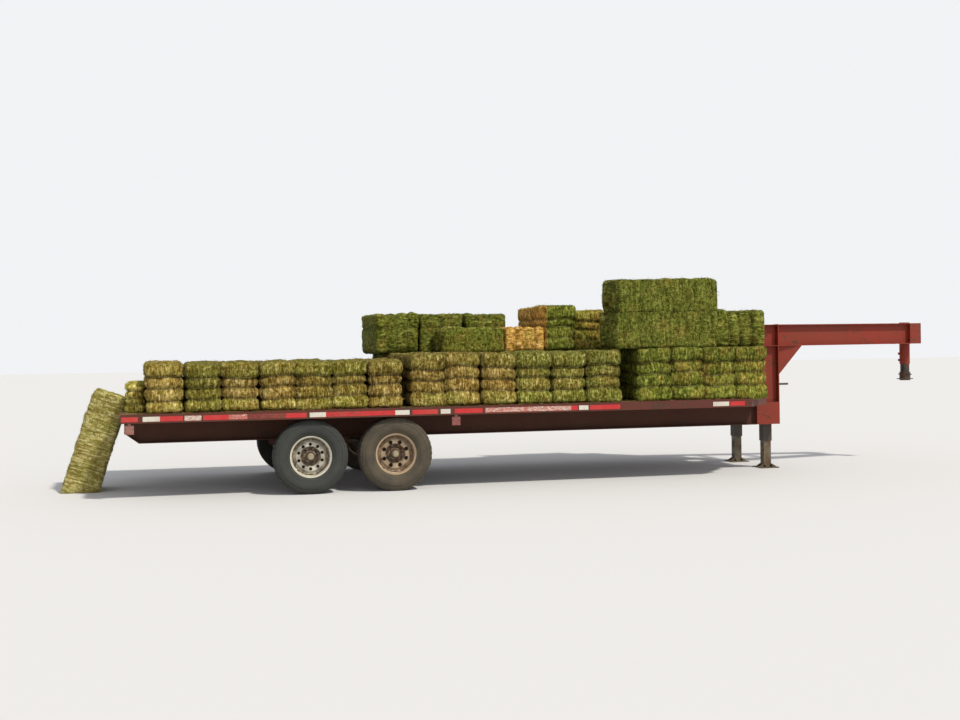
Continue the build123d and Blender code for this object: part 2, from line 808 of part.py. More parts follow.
# Columns: node, rear edge, pitch, how many, low Y, high Y, underside, height, axis the strings are spaced on
hay_table = [
    ("hay_rear", 235, 366, 1, near_low, near_high, deck_top, rear_bale_height, "Z"),
    ("hay_rear", 255, 372, 1, far_low, far_high, deck_top, far_rear_height, "Z"),
    ("hay_rear", 52, 176, 1, near_low + 260, near_high + 30, deck_top, low_bale_height, "Z"),
    ("hay_near_rear", 632, 370, 6, near_low, near_high, deck_top, rear_row_height, "Z"),
    ("hay_near_middle", middle_row_rear, middle_pitch, middle_count, near_low, near_high,
     deck_top, bale_on_edge, "Z"),
    ("hay_near_front", front_row_rear, 382, 4, near_low, near_high, deck_top, front_row_height, "Z"),
    ("hay_far_rear", far_row_rear, far_pitch, far_split, far_low, far_high, deck_top, far_rear_height, "Z"),
    ("hay_far_front", far_row_rear + far_split * far_pitch, far_pitch, far_count - far_split,
     far_low, far_high, deck_top, bale_on_edge, "Z"),
    ("hay_second_middle", front_row_rear - 1994, 688, 1, middle_low, middle_high, layer_one, 268, "Y"),
    ("hay_second_middle", front_row_rear - 1298, 470, 1, middle_low, middle_high, layer_one, 262, "X"),
    ("hay_second_middle", front_row_rear - 820, 376, 1, middle_low, far_low + 600, layer_one, 520, "Z"),
    ("hay_second_middle", front_row_rear - 430, 368, 1, near_high - 240, far_low + 750, layer_one, 462, "Z"),
    ("hay_second_far", front_row_rear - 2670, 520, 3, far_low + 5, far_high, layer_one, 440, "X"),
    ("hay_second_front", front_row_rear - 248, 1188, 1, lengthwise_low, lengthwise_low + bale_on_edge,
     front_layer, second_height, "Y"),
    ("hay_second_front", front_row_rear + 942, 618, 1, crosswise_low, crosswise_high,
     front_layer, crosswise_height, "X"),
    ("hay_second_front", front_row_rear - 62, 570, 2, far_low + 5, far_high, layer_one, bale_flat, "X"),
    ("hay_top", front_row_rear - 214, 1158, 1, lengthwise_low + 10, lengthwise_low + bale_on_edge,
     layer_two, top_height, "Y"),
]


def make_hay():
    nodes = {}
    for node, rear, pitch, count, low, high, underside, height, strings_along in hay_table:
        for index in range(round(count)):
            size = (pitch - bale_gap, high - low, height)
            bale = make_bale(size, strings_along)
            place = Pos(rear + (index + 0.5) * pitch, (low + high) / 2, underside + height / 2)
            nodes.setdefault(node, []).extend((place * bale).solids())
    return {node: Compound(children=solids) for node, solids in nodes.items()}


def make_leaning_bale():
    """A bale on its end, tipped against the deck's rear edge, its foot pressed flat on the ground."""
    bale = make_bale((lean_width, lean_depth, lean_length), "Y")
    bale = Pos(lean_width / 2, 0, lean_length / 2) * bale
    bale = Pos(lean_foot, lean_middle, 0) * Rot(0, lean_angle, 0) * bale
    ground = box_between((-lean_length, -half_width, -lean_length), (lean_length, half_width, 0))
    return bale - ground


def neck_inner_at(x):
    """Half the clear width between the neck beams' webs at a place along X."""
    swing = (beam_spacing - neck_front_spacing) / 2
    run = neck_reach - coupler_tube_radius
    lean = math.atan2(swing, run)
    return beam_spacing / 2 - swing * (x - riser_front) / run - neck_web / 2 / math.cos(lean) - seat


def make_neck_ties():
    """Flat-topped cross pieces between the neck beams' webs."""
    solids = []
    for reach in neck_tie_places:
        rear, front = riser_front + reach, riser_front + reach + neck_tie_width
        shape = [
            (rear, -neck_inner_at(rear)),
            (front, -neck_inner_at(front)),
            (front, neck_inner_at(front)),
            (rear, neck_inner_at(rear)),
        ]
        low = neck_top - neck_depth / 2 - neck_tie_depth / 2
        solids += (Pos(0, 0, low) * extrude(make_face(Polyline(*shape, close=True)), neck_tie_depth)).solids()
    return Compound(children=solids)


def make_coupler_block():
    """The closed box at the neck's front end, with the coupler's tube passing down through it."""
    rear = coupler_x - coupler_tube_radius
    front = coupler_x + coupler_tube_radius + coupler_nose
    half = neck_front_spacing / 2 + neck_flange / 2
    low = neck_top - neck_depth
    block = box_between((rear, -half, low), (front, half, neck_top))
    block -= box_between((rear + coupler_plate, -half + coupler_plate, low + coupler_plate),
                         (front - coupler_plate, half - coupler_plate, neck_top - coupler_plate))
    return block - rod(coupler_tube_radius + seat, (coupler_x, 0, low - 1), (coupler_x, 0, neck_top + 1))


def make_markers():
    plates = []
    for x in marker_places:
        for side in (-1, 1):
            low = side * (half_width - marker_inset) - marker_thickness / 2
            high = low + marker_thickness
            top, tab = rail_bottom - marker_drop, x + (marker_size - marker_tab) / 2
            plate = box_between((x, low, top - marker_size), (x + marker_size, high, top))
            plate += box_between((tab, low, top - 1), (tab + marker_tab, high, rail_bottom))
            plates += plate.solids()
    return Compound(children=plates)


def make_lamps():
    """Two round tail lamps each side on the rear header."""
    lamps = []
    for place in lamp_places:
        for side in (-1, 1):
            y = side * place
            z = deck_top - rail_depth / 2
            lamps += rod(lamp_radius, (-lamp_stand, y, z), (0, y, z)).solids()
    return Compound(children=lamps)


rear_rail, left_rail, right_rail, front_rail = make_rails()
main_beam = make_main_beam()
riser = make_riser()
neck_beam = make_neck_beam()
gusset = make_gusset()
jack_outer = make_jack_tube()

nodes = {
    "rear_header": rear_rail,
    "side_rail_left": left_rail,
    "side_rail_right": right_rail,
    "front_frame": front_rail,
    "deck_boards": make_boards(),
    "main_beams": mirrored(main_beam),
    "cross_members": make_cross_members(),
    "wheel_pans": make_wheel_pans(),
    "risers": mirrored(riser),
    "neck_beams": mirrored(neck_beam),
    "neck_ties": make_neck_ties(),
    "knee_gussets": mirrored(gusset),
    "coupler_block": make_coupler_block(),
    "coupler_tube": make_coupler_tube(),
    "coupler": make_coupler(),
    "jack_tubes": mirrored(jack_outer),
    "jack_shaft": make_jack_shaft(),
    "jack_handle": make_jack_handle(),
    "jack_brace": make_jack_brace(),
    "jack_leg_left": make_jack_leg(1),
    "jack_leg_right": make_jack_leg(-1),
    "leaf_springs": make_springs(),
    "spring_hangers": make_hangers(),
    "equalisers": make_equalisers(),
    "marker_plates": make_markers(),
    "tail_lamps": make_lamps(),
    "hay_leaning": make_leaning_bale(),
}
nodes.update(make_hay())

# Columns: name, axle centre, hand holes, their radius, the radius of their circle
wheel_table = [
    ("rear", tandem_centre - axle_spread / 2, 10, 17, 127),
    ("front", tandem_centre + axle_spread / 2, 8, 22, 127),
]
for place, x, hole_count, hole_radius, hole_circle in wheel_table:
    nodes["axle_" + place] = make_axle(x)
    tyre, rim, hub = make_tyre(), make_rim(hole_count, hole_radius, hole_circle), make_hub()
    for side_name, side in (("left", 1), ("right", -1)):
        end = wheel_frame(x, side)
        nodes[f"tyre_{place}_{side_name}"] = end * tyre
        nodes[f"rim_{place}_{side_name}"] = end * rim
        nodes[f"hub_{place}_{side_name}"] = end * hub

rear_reach = lean_foot
front_reach = coupler_x + coupler_tube_radius + coupler_nose
origin_x = (rear_reach + front_reach) / 2
for name, shape in nodes.items():
    export_step(Pos(-origin_x, 0, 0) * shape, f"parts/{name}.step")
print("origin_x", origin_x, "length", front_reach - rear_reach, "nodes", len(nodes))
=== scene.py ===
import math
import random

import bmesh
import bpy
import numpy as np
from mathutils import Matrix, Vector, noise


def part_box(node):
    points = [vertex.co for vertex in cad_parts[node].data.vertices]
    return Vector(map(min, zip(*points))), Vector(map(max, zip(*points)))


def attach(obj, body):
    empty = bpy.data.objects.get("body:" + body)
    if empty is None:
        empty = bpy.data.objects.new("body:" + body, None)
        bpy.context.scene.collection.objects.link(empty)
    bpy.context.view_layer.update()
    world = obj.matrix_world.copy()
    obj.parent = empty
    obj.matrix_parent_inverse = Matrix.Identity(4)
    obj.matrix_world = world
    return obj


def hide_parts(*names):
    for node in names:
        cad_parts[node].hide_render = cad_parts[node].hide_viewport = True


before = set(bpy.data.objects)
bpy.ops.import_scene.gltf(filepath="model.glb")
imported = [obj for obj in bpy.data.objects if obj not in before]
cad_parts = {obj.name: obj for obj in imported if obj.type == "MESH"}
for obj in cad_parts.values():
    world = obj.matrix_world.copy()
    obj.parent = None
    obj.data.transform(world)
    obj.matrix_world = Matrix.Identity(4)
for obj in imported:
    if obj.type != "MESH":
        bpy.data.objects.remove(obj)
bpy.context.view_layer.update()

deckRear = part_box("rear_header")[0].x  # the deck's rear edge, from which places along the trailer are counted
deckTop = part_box("rear_header")[1].z
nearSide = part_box("side_rail_right")[0].y
finishes = {}


def feed(socket, value):
    value = getattr(value, "socket", value)
    if isinstance(value, bpy.types.NodeSocket):
        socket.id_data.links.new(value, socket)
    else:
        socket.default_value = value


def put(tree, kind, inputs=None, **settings):
    node = tree.nodes.new(kind)
    for key, value in settings.items():
        setattr(node, key, value)
    for key, value in (inputs or {}).items():
        feed(node.inputs[key], value)
    return node


def srgb(colour):
    return tuple(((c / 255 + 0.055) / 1.055) ** 2.4 if c > 10 else c / 255 / 12.92 for c in colour) + (1,)


class Value:
    # A number, colour or place that a node tree works out for each point. What's done with it adds nodes
    def __init__(self, socket):
        self.socket = socket

    def node(self, kind, inputs, output=0, **settings):
        return Value(put(self.socket.id_data, kind, inputs, **settings).outputs[output])

    def calc(self, operation, other=0.0, clamp=False):
        return self.node("ShaderNodeMath", {0: self, 1: other}, operation=operation, use_clamp=clamp)

    def vector(self, operation, inputs, output=0):
        return self.node("ShaderNodeVectorMath", inputs, output, operation=operation)

    def __add__(self, other):
        return self.calc("ADD", other)

    def __sub__(self, other):
        return self.calc("SUBTRACT", other)

    def __mul__(self, other):
        return self.calc("MULTIPLY", other)

    def stretch(self, low, high, outLow=0.0, outHigh=1.0):
        inputs = {"Value": self, "From Min": low, "From Max": high, "To Min": outLow, "To Max": outHigh}
        return self.node("ShaderNodeMapRange", inputs, "Result")

    def mix(self, first, second):
        # A colour is another value, three numbers up to 255, or four in linear light
        first, second = (srgb(c) if isinstance(c, tuple) and len(c) == 3 else c for c in (first, second))
        return self.node("ShaderNodeMix", {0: self, 6: first, 7: second}, 2, data_type="RGBA")

    def place(self, location=(0, 0, 0), rotation=(0, 0, 0), scale=(1, 1, 1)):
        inputs = {"Vector": self, "Location": location, "Rotation": rotation, "Scale": scale}
        return self.node("ShaderNodeMapping", inputs)

    def cloud(self, scale, detail=3.0, roughness=0.55, distortion=0.0):
        inputs = {"Vector": self, "Scale": scale, "Detail": detail, "Roughness": roughness, "Distortion": distortion}
        return self.node("ShaderNodeTexNoise", inputs, "Fac")

    def cells(self, scale):
        return self.node("ShaderNodeTexVoronoi", {"Vector": self, "Scale": scale}, "Distance")


def newMaterial(name, roughness=0.7, metallic=0.0, specular=0.5):
    # The new material's shader, and the place on the object
    material = bpy.data.materials.new(name)
    material.use_nodes = True
    finishes[name] = material
    shader = material.node_tree.nodes["Principled BSDF"]
    shader.inputs["Roughness"].default_value = roughness
    shader.inputs["Metallic"].default_value = metallic
    shader.inputs["Specular IOR Level"].default_value = specular
    return shader, Value(put(material.node_tree, "ShaderNodeTexCoord").outputs["Object"])


def held(shader, name):
    return put(shader.id_data, "ShaderNodeAttribute", attribute_name=name).outputs


def close(shader, colour, relief, strength, distance, rough=None):
    # The finish's colour, its relief as bump and, where it isn't even, its roughness
    feed(shader.inputs["Base Color"], colour)
    if rough is not None:
        feed(shader.inputs["Roughness"], rough)
    bump = put(shader.id_data, "ShaderNodeBump", {"Height": relief, "Strength": strength, "Distance": distance})
    feed(shader.inputs["Normal"], bump.outputs[0])


def wornPaint(name, paint, faded, rust, rustAmount=0.5, dust=0.35, gloss=0.5):
    # Sun-bleached paint with rust spots that run together, thin scratches and a film of dust
    shader, spot = newMaterial(name, gloss, specular=0.3)
    colour = spot.cloud(1.7, 5, 0.6).stretch(0.35, 0.7).mix(paint, faded)
    streaks = spot.place(scale=(2.5, 2.5, 26)).cloud(1.0, 4, 0.65)
    colour = streaks.stretch(0.45, 0.75, 0, 0.45).mix(colour, faded)
    coarse, fine = spot.cloud(5.5, 8, 0.7, 0.6), spot.cloud(42, 6, 0.7)
    edge = 0.66 - 0.16 * rustAmount
    chips = (coarse * 0.62 + fine * 0.38).stretch(edge, edge + 0.03)
    colour = chips.mix(colour, spot.cloud(90, 4, 0.7).mix(rust, (58, 36, 24)))
    film = spot.cloud(3.1, 5, 0.65).stretch(0.3, 0.75, 0.05, dust)
    rough = (chips * 0.3).calc("ADD", film * 0.6, True).stretch(0, 1, gloss, 0.95)
    close(shader, film.mix(colour, (160, 132, 102)), fine * 0.35 - chips * 0.5, 0.35, 0.004, rough)


def plankWood(name, boardWidth=0.1924, halfDeck=1.2475):
    # Weathered planks that run along the deck: grain, stains and a different tone for each board
    shader, spot = newMaterial(name, 0.88, specular=0.25)
    across = spot.node("ShaderNodeSeparateXYZ", {0: spot}, 1)
    board = ((across + halfDeck) * (1 / boardWidth)).calc("FLOOR")
    tone = board.node("ShaderNodeTexWhiteNoise", {"W": board}, "Value", noise_dimensions="1D")
    grain = spot.place(scale=(1.4, 46, 30)).cloud(1.0, 8, 0.72, 0.9)
    colour = grain.stretch(0.3, 0.72).mix((78, 62, 46), (158, 138, 110))
    colour = tone.stretch(0, 1, 0.05, 0.55).mix(colour, (112, 92, 70))
    colour = spot.cloud(1.3, 6, 0.65).stretch(0.42, 0.68).mix(colour, (86, 72, 58))
    litter = spot.place(scale=(60, 22, 30)).cloud(1.0, 3, 0.7).stretch(0.63, 0.68)
    close(shader, litter.mix(colour, (168, 152, 84)), grain + litter * 0.4, 0.7, 0.003)


def bareSteel(name, dark, rust, amount=0.5, metallic=0.5):
    shader, spot = newMaterial(name, 0.65, metallic)
    rusty = spot.cloud(9, 8, 0.7, 0.5).stretch(0.62 - 0.3 * amount, 0.76 - 0.3 * amount)
    flakes = spot.cloud(70, 5, 0.7)
    colour = rusty.mix(dark, flakes.mix(rust, (70, 42, 26)))
    colour = spot.cloud(2.4, 4).stretch(0.4, 0.75, 0, 0.4).mix(colour, (150, 126, 98))
    close(shader, colour, flakes, 0.45, 0.003, rusty.stretch(0, 1, 0.45, 0.92))


def roundAxle(spot, axleX, axleZ):
    # Places counted from the axle, and the distance from it
    spot = spot.place(location=(-axleX, 0, -axleZ))
    return spot, spot.vector("LENGTH", {0: spot.place(scale=(1, 0, 1))}, "Value")


def wheelPaint(name, axle, paint, lip, rust):
    # Pattern centred on the axle, so that rust gathers round the studs and in the rim's well
    shader, spot = newMaterial(name, 0.55, 0.15)
    spot, radius = roundAxle(spot, *axle)
    blotch = spot.cloud(22, 7, 0.7, 0.4)
    colour = spot.cloud(9, 5).stretch(0.35, 0.7).mix(paint, lip)
    colour = radius.stretch(0.196, 0.204).mix(colour, lip)
    well, ring = ((radius - at).calc("ABSOLUTE").stretch(far, near)
                  for at, far, near in ((0.184, 0.016, 0.004), (0.076, 0.036, 0.010)))
    rusty = (blotch + (well * 0.30 + ring * 0.32)).stretch(0.66, 0.74)
    colour = spot.cloud(5, 4).stretch(0.4, 0.7, 0.05, 0.35).mix(rusty.mix(colour, rust), (150, 130, 104))
    close(shader, colour, blotch, 0.3, 0.002, rusty.stretch(0, 1, 0.5, 0.9))


def hubSteel(name, axle):
    # Greasy steel with a paler cap in the middle
    shader, spot = newMaterial(name, 0.6, 0.4)
    spot, radius = roundAxle(spot, *axle)
    grime = spot.cloud(30, 6, 0.7)
    body, cap = grime.mix((38, 30, 24), (96, 70, 50)), grime.mix((176, 168, 140), (120, 104, 80))
    close(shader, radius.stretch(0.036, 0.0335).mix(body, cap), grime, 0.4, 0.002)


def tyreRubber(name, dark, light, dusty):
    # wear holds how dusty a place is: grooves and the bead most, the tread's ribs least
    shader, spot = newMaterial(name, 0.85, specular=0.3)
    wear = Value(held(shader, "wear")["Fac"])
    dust = (wear * 0.5).calc("ADD", spot.cloud(7, 6, 0.65).stretch(0.3, 0.7) * 0.5, True)
    colour = dust.mix(spot.cloud(60, 4).mix(dark, light), dusty)
    close(shader, colour, spot.cloud(140, 3), 0.25, 0.002, dust.stretch(0, 1, 0.62, 0.95))


def tapeFinish(name, colour, under):
    # Reflective tape with its prism pattern. wear says how much of a strip has peeled off the paint
    shader, spot = newMaterial(name, 0.35)
    wear = Value(held(shader, "wear")["Fac"])
    prisms = spot.cells(90)
    darker = tuple(0.75 * c for c in srgb(colour)[:3]) + (1,)
    torn = spot.place(scale=(0.7, 1, 2.6)).cloud(40, 8, 0.75)
    peeled = (torn - (wear * -0.4 + 0.78)).stretch(-0.02, 0.07)
    colour = peeled.mix(prisms.stretch(0.1, 0.7).mix(colour, darker), under)
    colour = spot.cloud(8, 5).stretch(0.4, 0.75, 0, 0.2).mix(colour, (140, 110, 84))
    close(shader, colour, prisms - peeled * 1.5, 0.25, 0.001, peeled.stretch(0, 1, 0.32, 0.85))


def lensPlastic(name, bright, deep):
    shader, spot = newMaterial(name, 0.28)
    colour = spot.cloud(14, 5).stretch(0.35, 0.7).mix(bright, deep)
    colour = spot.cloud(5, 4).stretch(0.45, 0.75, 0, 0.45).mix(colour, (168, 140, 116))
    close(shader, colour, spot.cells(160), 0.35, 0.002)


def pressedHay(name, green, gold):
    # Each of green and gold is dark, middle and light. grain is a place in the bale's own directions, and tone holds
    # gold amount, brightness, painted shade of grooves and edges, and flake lines. Stems cross at several angles
    shader = newMaterial(name, 0.92, specular=0.15)[0]
    grain, tone = Value(held(shader, "grain")["Vector"]), held(shader, "tone")
    parts = put(shader.id_data, "ShaderNodeSeparateColor", {0: tone["Color"]}).outputs
    goldShare, bright, paintedShade = (Value(part) for part in parts)
    stems = None
    for turn, tilt, scale in ((0.2, 0.5, (40, 11, 165)), (1.0, -0.6, (36, 12, 150)), (1.8, 0.3, (165, 11, 42)),
                              (2.6, -0.2, (150, 12, 46))):
        streak = grain.place(rotation=(turn, tilt, 0.4 * turn), scale=scale).cloud(1.0, 2, 0.6, 0.5)
        stems = streak if stems is None else stems.calc("MAXIMUM", streak)
    # Lines drawn across the bale: painted shade in the gaps between flakes and painted highlight on them
    flakes = grain.place(scale=(1, 0.12, 0.12)).cloud(48, 3, 0.6)
    light = stems.stretch(0.52, 0.76, 0, 0.70) + grain.cloud(30, 5, 0.74).stretch(0.3, 0.7, -0.34, 0.42)
    light += flakes.stretch(0.34, 0.60, -0.40, 0.26) * tone["Alpha"]
    lower, upper = light.stretch(0.0, 0.42), light.stretch(0.42, 1.0)
    greener, golder = (upper.mix(lower.mix(dark, middle), pale) for dark, middle, pale in (green, gold))
    patch = grain.cloud(6, 3, 0.6).stretch(0.3, 0.7, -0.35, 0.35)
    colour = goldShare.calc("ADD", patch, True).mix(greener, golder)
    # Painted shade: the colour darkens in the strings' grooves, the flakes' creases, the drawn-in ends and the
    # rounded edges
    level = bright * paintedShade.stretch(0, 1, 1.0, 0.46)
    grey = level.node("ShaderNodeCombineColor", {0: level, 1: level, 2: level})
    colour = colour.node("ShaderNodeMix", {0: 1.0, 6: colour, 7: grey}, 2, data_type="RGBA", blend_type="MULTIPLY")
    close(shader, colour, light, 0.8, 0.008)


# Columns: paint, faded paint, rust, how much rust, dust, gloss
wornPaint("railPaint", (84, 19, 13), (74, 27, 19), (60, 36, 25), 0.8, 0.08, 0.6)
wornPaint("neckPaint", (130, 27, 11), (114, 37, 20), (80, 42, 26), 0.6, 0.08, 0.6)
# The beams' red is darker than the neck's: painted shade for the deck's shadow over them, besides their rust
wornPaint("beamPaintWithPaintedShade", (66, 20, 9), (58, 27, 14), (55, 32, 19), 0.7, 0.10, 0.7)
wornPaint("jackBlack", (30, 30, 33), (48, 47, 47), (84, 56, 40), 0.4, 0.2)
plankWood("deckPlanks")
bareSteel("darkSteel", (52, 48, 46), (112, 74, 50), 0.45)
bareSteel("rustySteel", (88, 86, 70), (104, 86, 64), 0.6, 0.3)
bareSteel("rubberSeal", (26, 26, 26), (52, 48, 44), 0.3, 0.0)
bareSteel("twineFibre", (168, 154, 96), (140, 128, 78), 0.6, 0.0)
tapeFinish("tapeRed", (200, 26, 28), (104, 44, 36))
tapeFinish("tapeWhite", (222, 216, 200), (176, 92, 80))
lensPlastic("markerPlastic", (138, 74, 66), (110, 56, 50))
lensPlastic("lampRed", (170, 22, 20), (120, 14, 14))

driedGold = ((88, 62, 12), (166, 140, 70), (238, 218, 164))
hayKinds = {
    "Straw": (((88, 78, 16), (164, 156, 72), (238, 228, 168)), ((98, 72, 16), (180, 154, 82), (246, 226, 172))),
    "Gold": (((74, 66, 8), (142, 136, 56), (226, 216, 150)), driedGold),
    "Mixed": (((66, 62, 8), (134, 134, 56), (220, 214, 148)), driedGold),
    "Green": (((58, 62, 8), (130, 136, 48), (200, 202, 120)), ((102, 70, 20), (180, 140, 68), (234, 204, 140))),
    "Pale": (((132, 122, 52), (184, 178, 102), (242, 234, 186)), ((138, 116, 56), (190, 168, 104), (246, 230, 178))),
}
for kind, (green, gold) in hayKinds.items():
    pressedHay("hay" + kind, green, gold)

nodeFinishes = {
    "railPaint": "rear_header side_rail_left side_rail_right front_frame",
    "neckPaint": "risers neck_beams neck_ties knee_gussets coupler_block coupler_tube jack_brace",
    "beamPaintWithPaintedShade": "main_beams cross_members wheel_pans spring_hangers",
    "jackBlack": "jack_tubes",
    "deckPlanks": "deck_boards",
    "darkSteel": "coupler jack_shaft jack_handle axle_rear axle_front",
    "rustySteel": "jack_leg_left jack_leg_right leaf_springs equalisers",
    "markerPlastic": "marker_plates",
    "lampRed": "tail_lamps",
}
# Rim paint, its lip and its rust, then the tyre's dark, light and dusty rubber
wheelColours = {
    "rear": (((106, 103, 92), (206, 202, 184), (70, 50, 33)), ((25, 26, 26), (42, 43, 42), (70, 71, 66))),
    "front": (((118, 97, 73), (176, 155, 125), (72, 48, 32)), ((32, 30, 28), (50, 47, 42), (98, 88, 70))),
}
axlePlaces = {}
for axle, (rim, rubber) in wheelColours.items():
    low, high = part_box("hub_" + axle + "_right")
    axlePlaces[axle] = ((low.x + high.x) / 2, (low.z + high.z) / 2)
    wheelPaint(axle + "Rim", axlePlaces[axle], *rim)
    hubSteel(axle + "Hub", axlePlaces[axle])
    tyreRubber(axle + "Tyre", *rubber)
    for part in ("rim", "hub"):
        nodeFinishes[axle + part.title()] = f"{part}_{axle}_left {part}_{axle}_right"
for finish, nodes in nodeFinishes.items():
    for node in nodes.split():
        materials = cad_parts[node].data.materials
        materials.clear()
        materials.append(finishes[finish])
print("materials made:", len(finishes))


def newObject(name, data):
    thing = bpy.data.objects.new(name, data)
    bpy.context.collection.objects.link(thing)
    return thing


def addPiece(name, verts, faces, finish, slot, body="root", nodes=(), smooth=True, **numbers):
    # numbers gives attributes their number, place or colour for each point
    mesh = bpy.data.meshes.new(name)
    mesh.from_pydata([tuple(v) for v in verts], [], [tuple(int(i) for i in f) for f in faces])
    mesh.materials.append(finishes[finish])
    mesh.polygons.foreach_set("use_smooth", [smooth] * len(mesh.polygons))
    for title, values in numbers.items():
        values = np.asarray(values, dtype=np.float32)
        kinds = {1: ("FLOAT", "value"), 3: ("FLOAT_VECTOR", "vector"), 4: ("FLOAT_COLOR", "color")}
        kind, field = kinds[values[0].size]
        mesh.attributes.new(title, kind, "POINT").data.foreach_set(field, values.ravel())
    piece = newObject(name, mesh)
    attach(piece, body)
    if nodes:
        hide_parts(*nodes)
    return piece


def islands(node):
    # The boxes of a CAD node's separate solids: each corner takes the least number that its triangles hold
    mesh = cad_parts[node].data
    keys, owner = np.unique(np.round([v.co for v in mesh.vertices], 5), axis=0, return_inverse=True)
    corners = owner.ravel()[[tuple(p.vertices) for p in mesh.polygons]]
    label, old = np.arange(len(keys)), None
    while not np.array_equal(label, old):
        old = label.copy()
        np.minimum.at(label, corners, old[corners].min(axis=1)[:, None])
    groups = [keys[label == k] for k in np.unique(label)]
    boxes = [(group.min(axis=0), group.max(axis=0)) for group in groups]
    return sorted(boxes, key=lambda box: (round(box[0][2], 1), box[0][0], box[0][1]))


def gridBox(counts):
    # The surface of a block as a lattice, its places from 0 to counts along each axis
    points, quads, start = [], [], 0
    for axis in range(3):
        u, v = (axis + 1) % 3, (axis + 2) % 3
        for end in (0, counts[axis]):
            gridU, gridV = np.indices((counts[u] + 1, counts[v] + 1))
            grid = np.zeros(gridU.shape + (3,), int)
            grid[..., u], grid[..., v], grid[..., axis] = gridU, gridV, end
            index = np.arange(gridU.size).reshape(gridU.shape) + start
            start += gridU.size
            corners = [index[:-1, :-1], index[1:, :-1], index[1:, 1:], index[:-1, 1:]]
            if end == 0:
                corners.reverse()
            points.append(grid.reshape(-1, 3))
            quads.append(np.stack(corners, -1).reshape(-1, 4))
    places, same = np.unique(np.concatenate(points), axis=0, return_inverse=True)
    return places, same.ravel()[np.concatenate(quads)]


bales = {
    "cells": (0.034, 0.0155, 0.024), "farCoarser": 1.6, "slabs": 4,
    "stringDepth": 0.022, "stringWidth": 0.016, "stringWander": 0.16, "stringSag": 0.10, "topShare": 0.14,
    "pillow": 0.012, "skin": 0.010, "slabPush": (-0.006, 0.004), "outerSlab": 0.007,
    "endPull": 0.036, "edgeSharpness": 3, "endShares": ((0.15, 1.0, 1.0, 0.0), (0.0, 1.0, 0.8, 0.2)),
    "flakeStep": 0.006, "flakeSpread": 0.35, "flakeBend": 0.014, "creaseWidth": 0.008,
    "lumps": ((0.018, 2.6), (0.011, 9), (0.008, 27)),  # height and how many to the metre
    "turn": 0.022, "toneRange": (0.93, 1.07), "bite": 0.9, "wanderWaves": (3, 5, 0), "bendWaves": (4, 4, 1),
    "twineSteps": 40, "twineLift": 0.003, "twineFacing": 0.7, "twineShare": 0.3,
    "grooveShade": 0.9, "rimShade": 0.35, "creaseShade": 0.30, "endShade": 0.45,
    "stemsPerBale": 1700, "stemLength": 0.060, "stemWidth": 0.0024, "stemLift": 0.13,
}

# How flakes show. Columns: spacing, crease depth, strength of the drawn lines (painted shade between flakes and
# painted highlight on them), corner rounding, unevenness
plainFlakes = (0.085, 0.008, 0.25, 0.034, 1.0)
flakeLooks = {
    "hay_leaning": (0.052, 0.009, 1.1, 0.030, 0.8),
    "hay_top": (0.090, 0.005, 0.40, 0.022, 0.55),
    "hay_second_front": (0.090, 0.005, 0.40, 0.024, 0.6),
    "hay_second_middle": (0.085, 0.006, 0.30, 0.028, 0.8),
}


def noiseAt(points, scale, shift):
    return np.array([noise.noise(Vector(p * scale) + shift) for p in points])


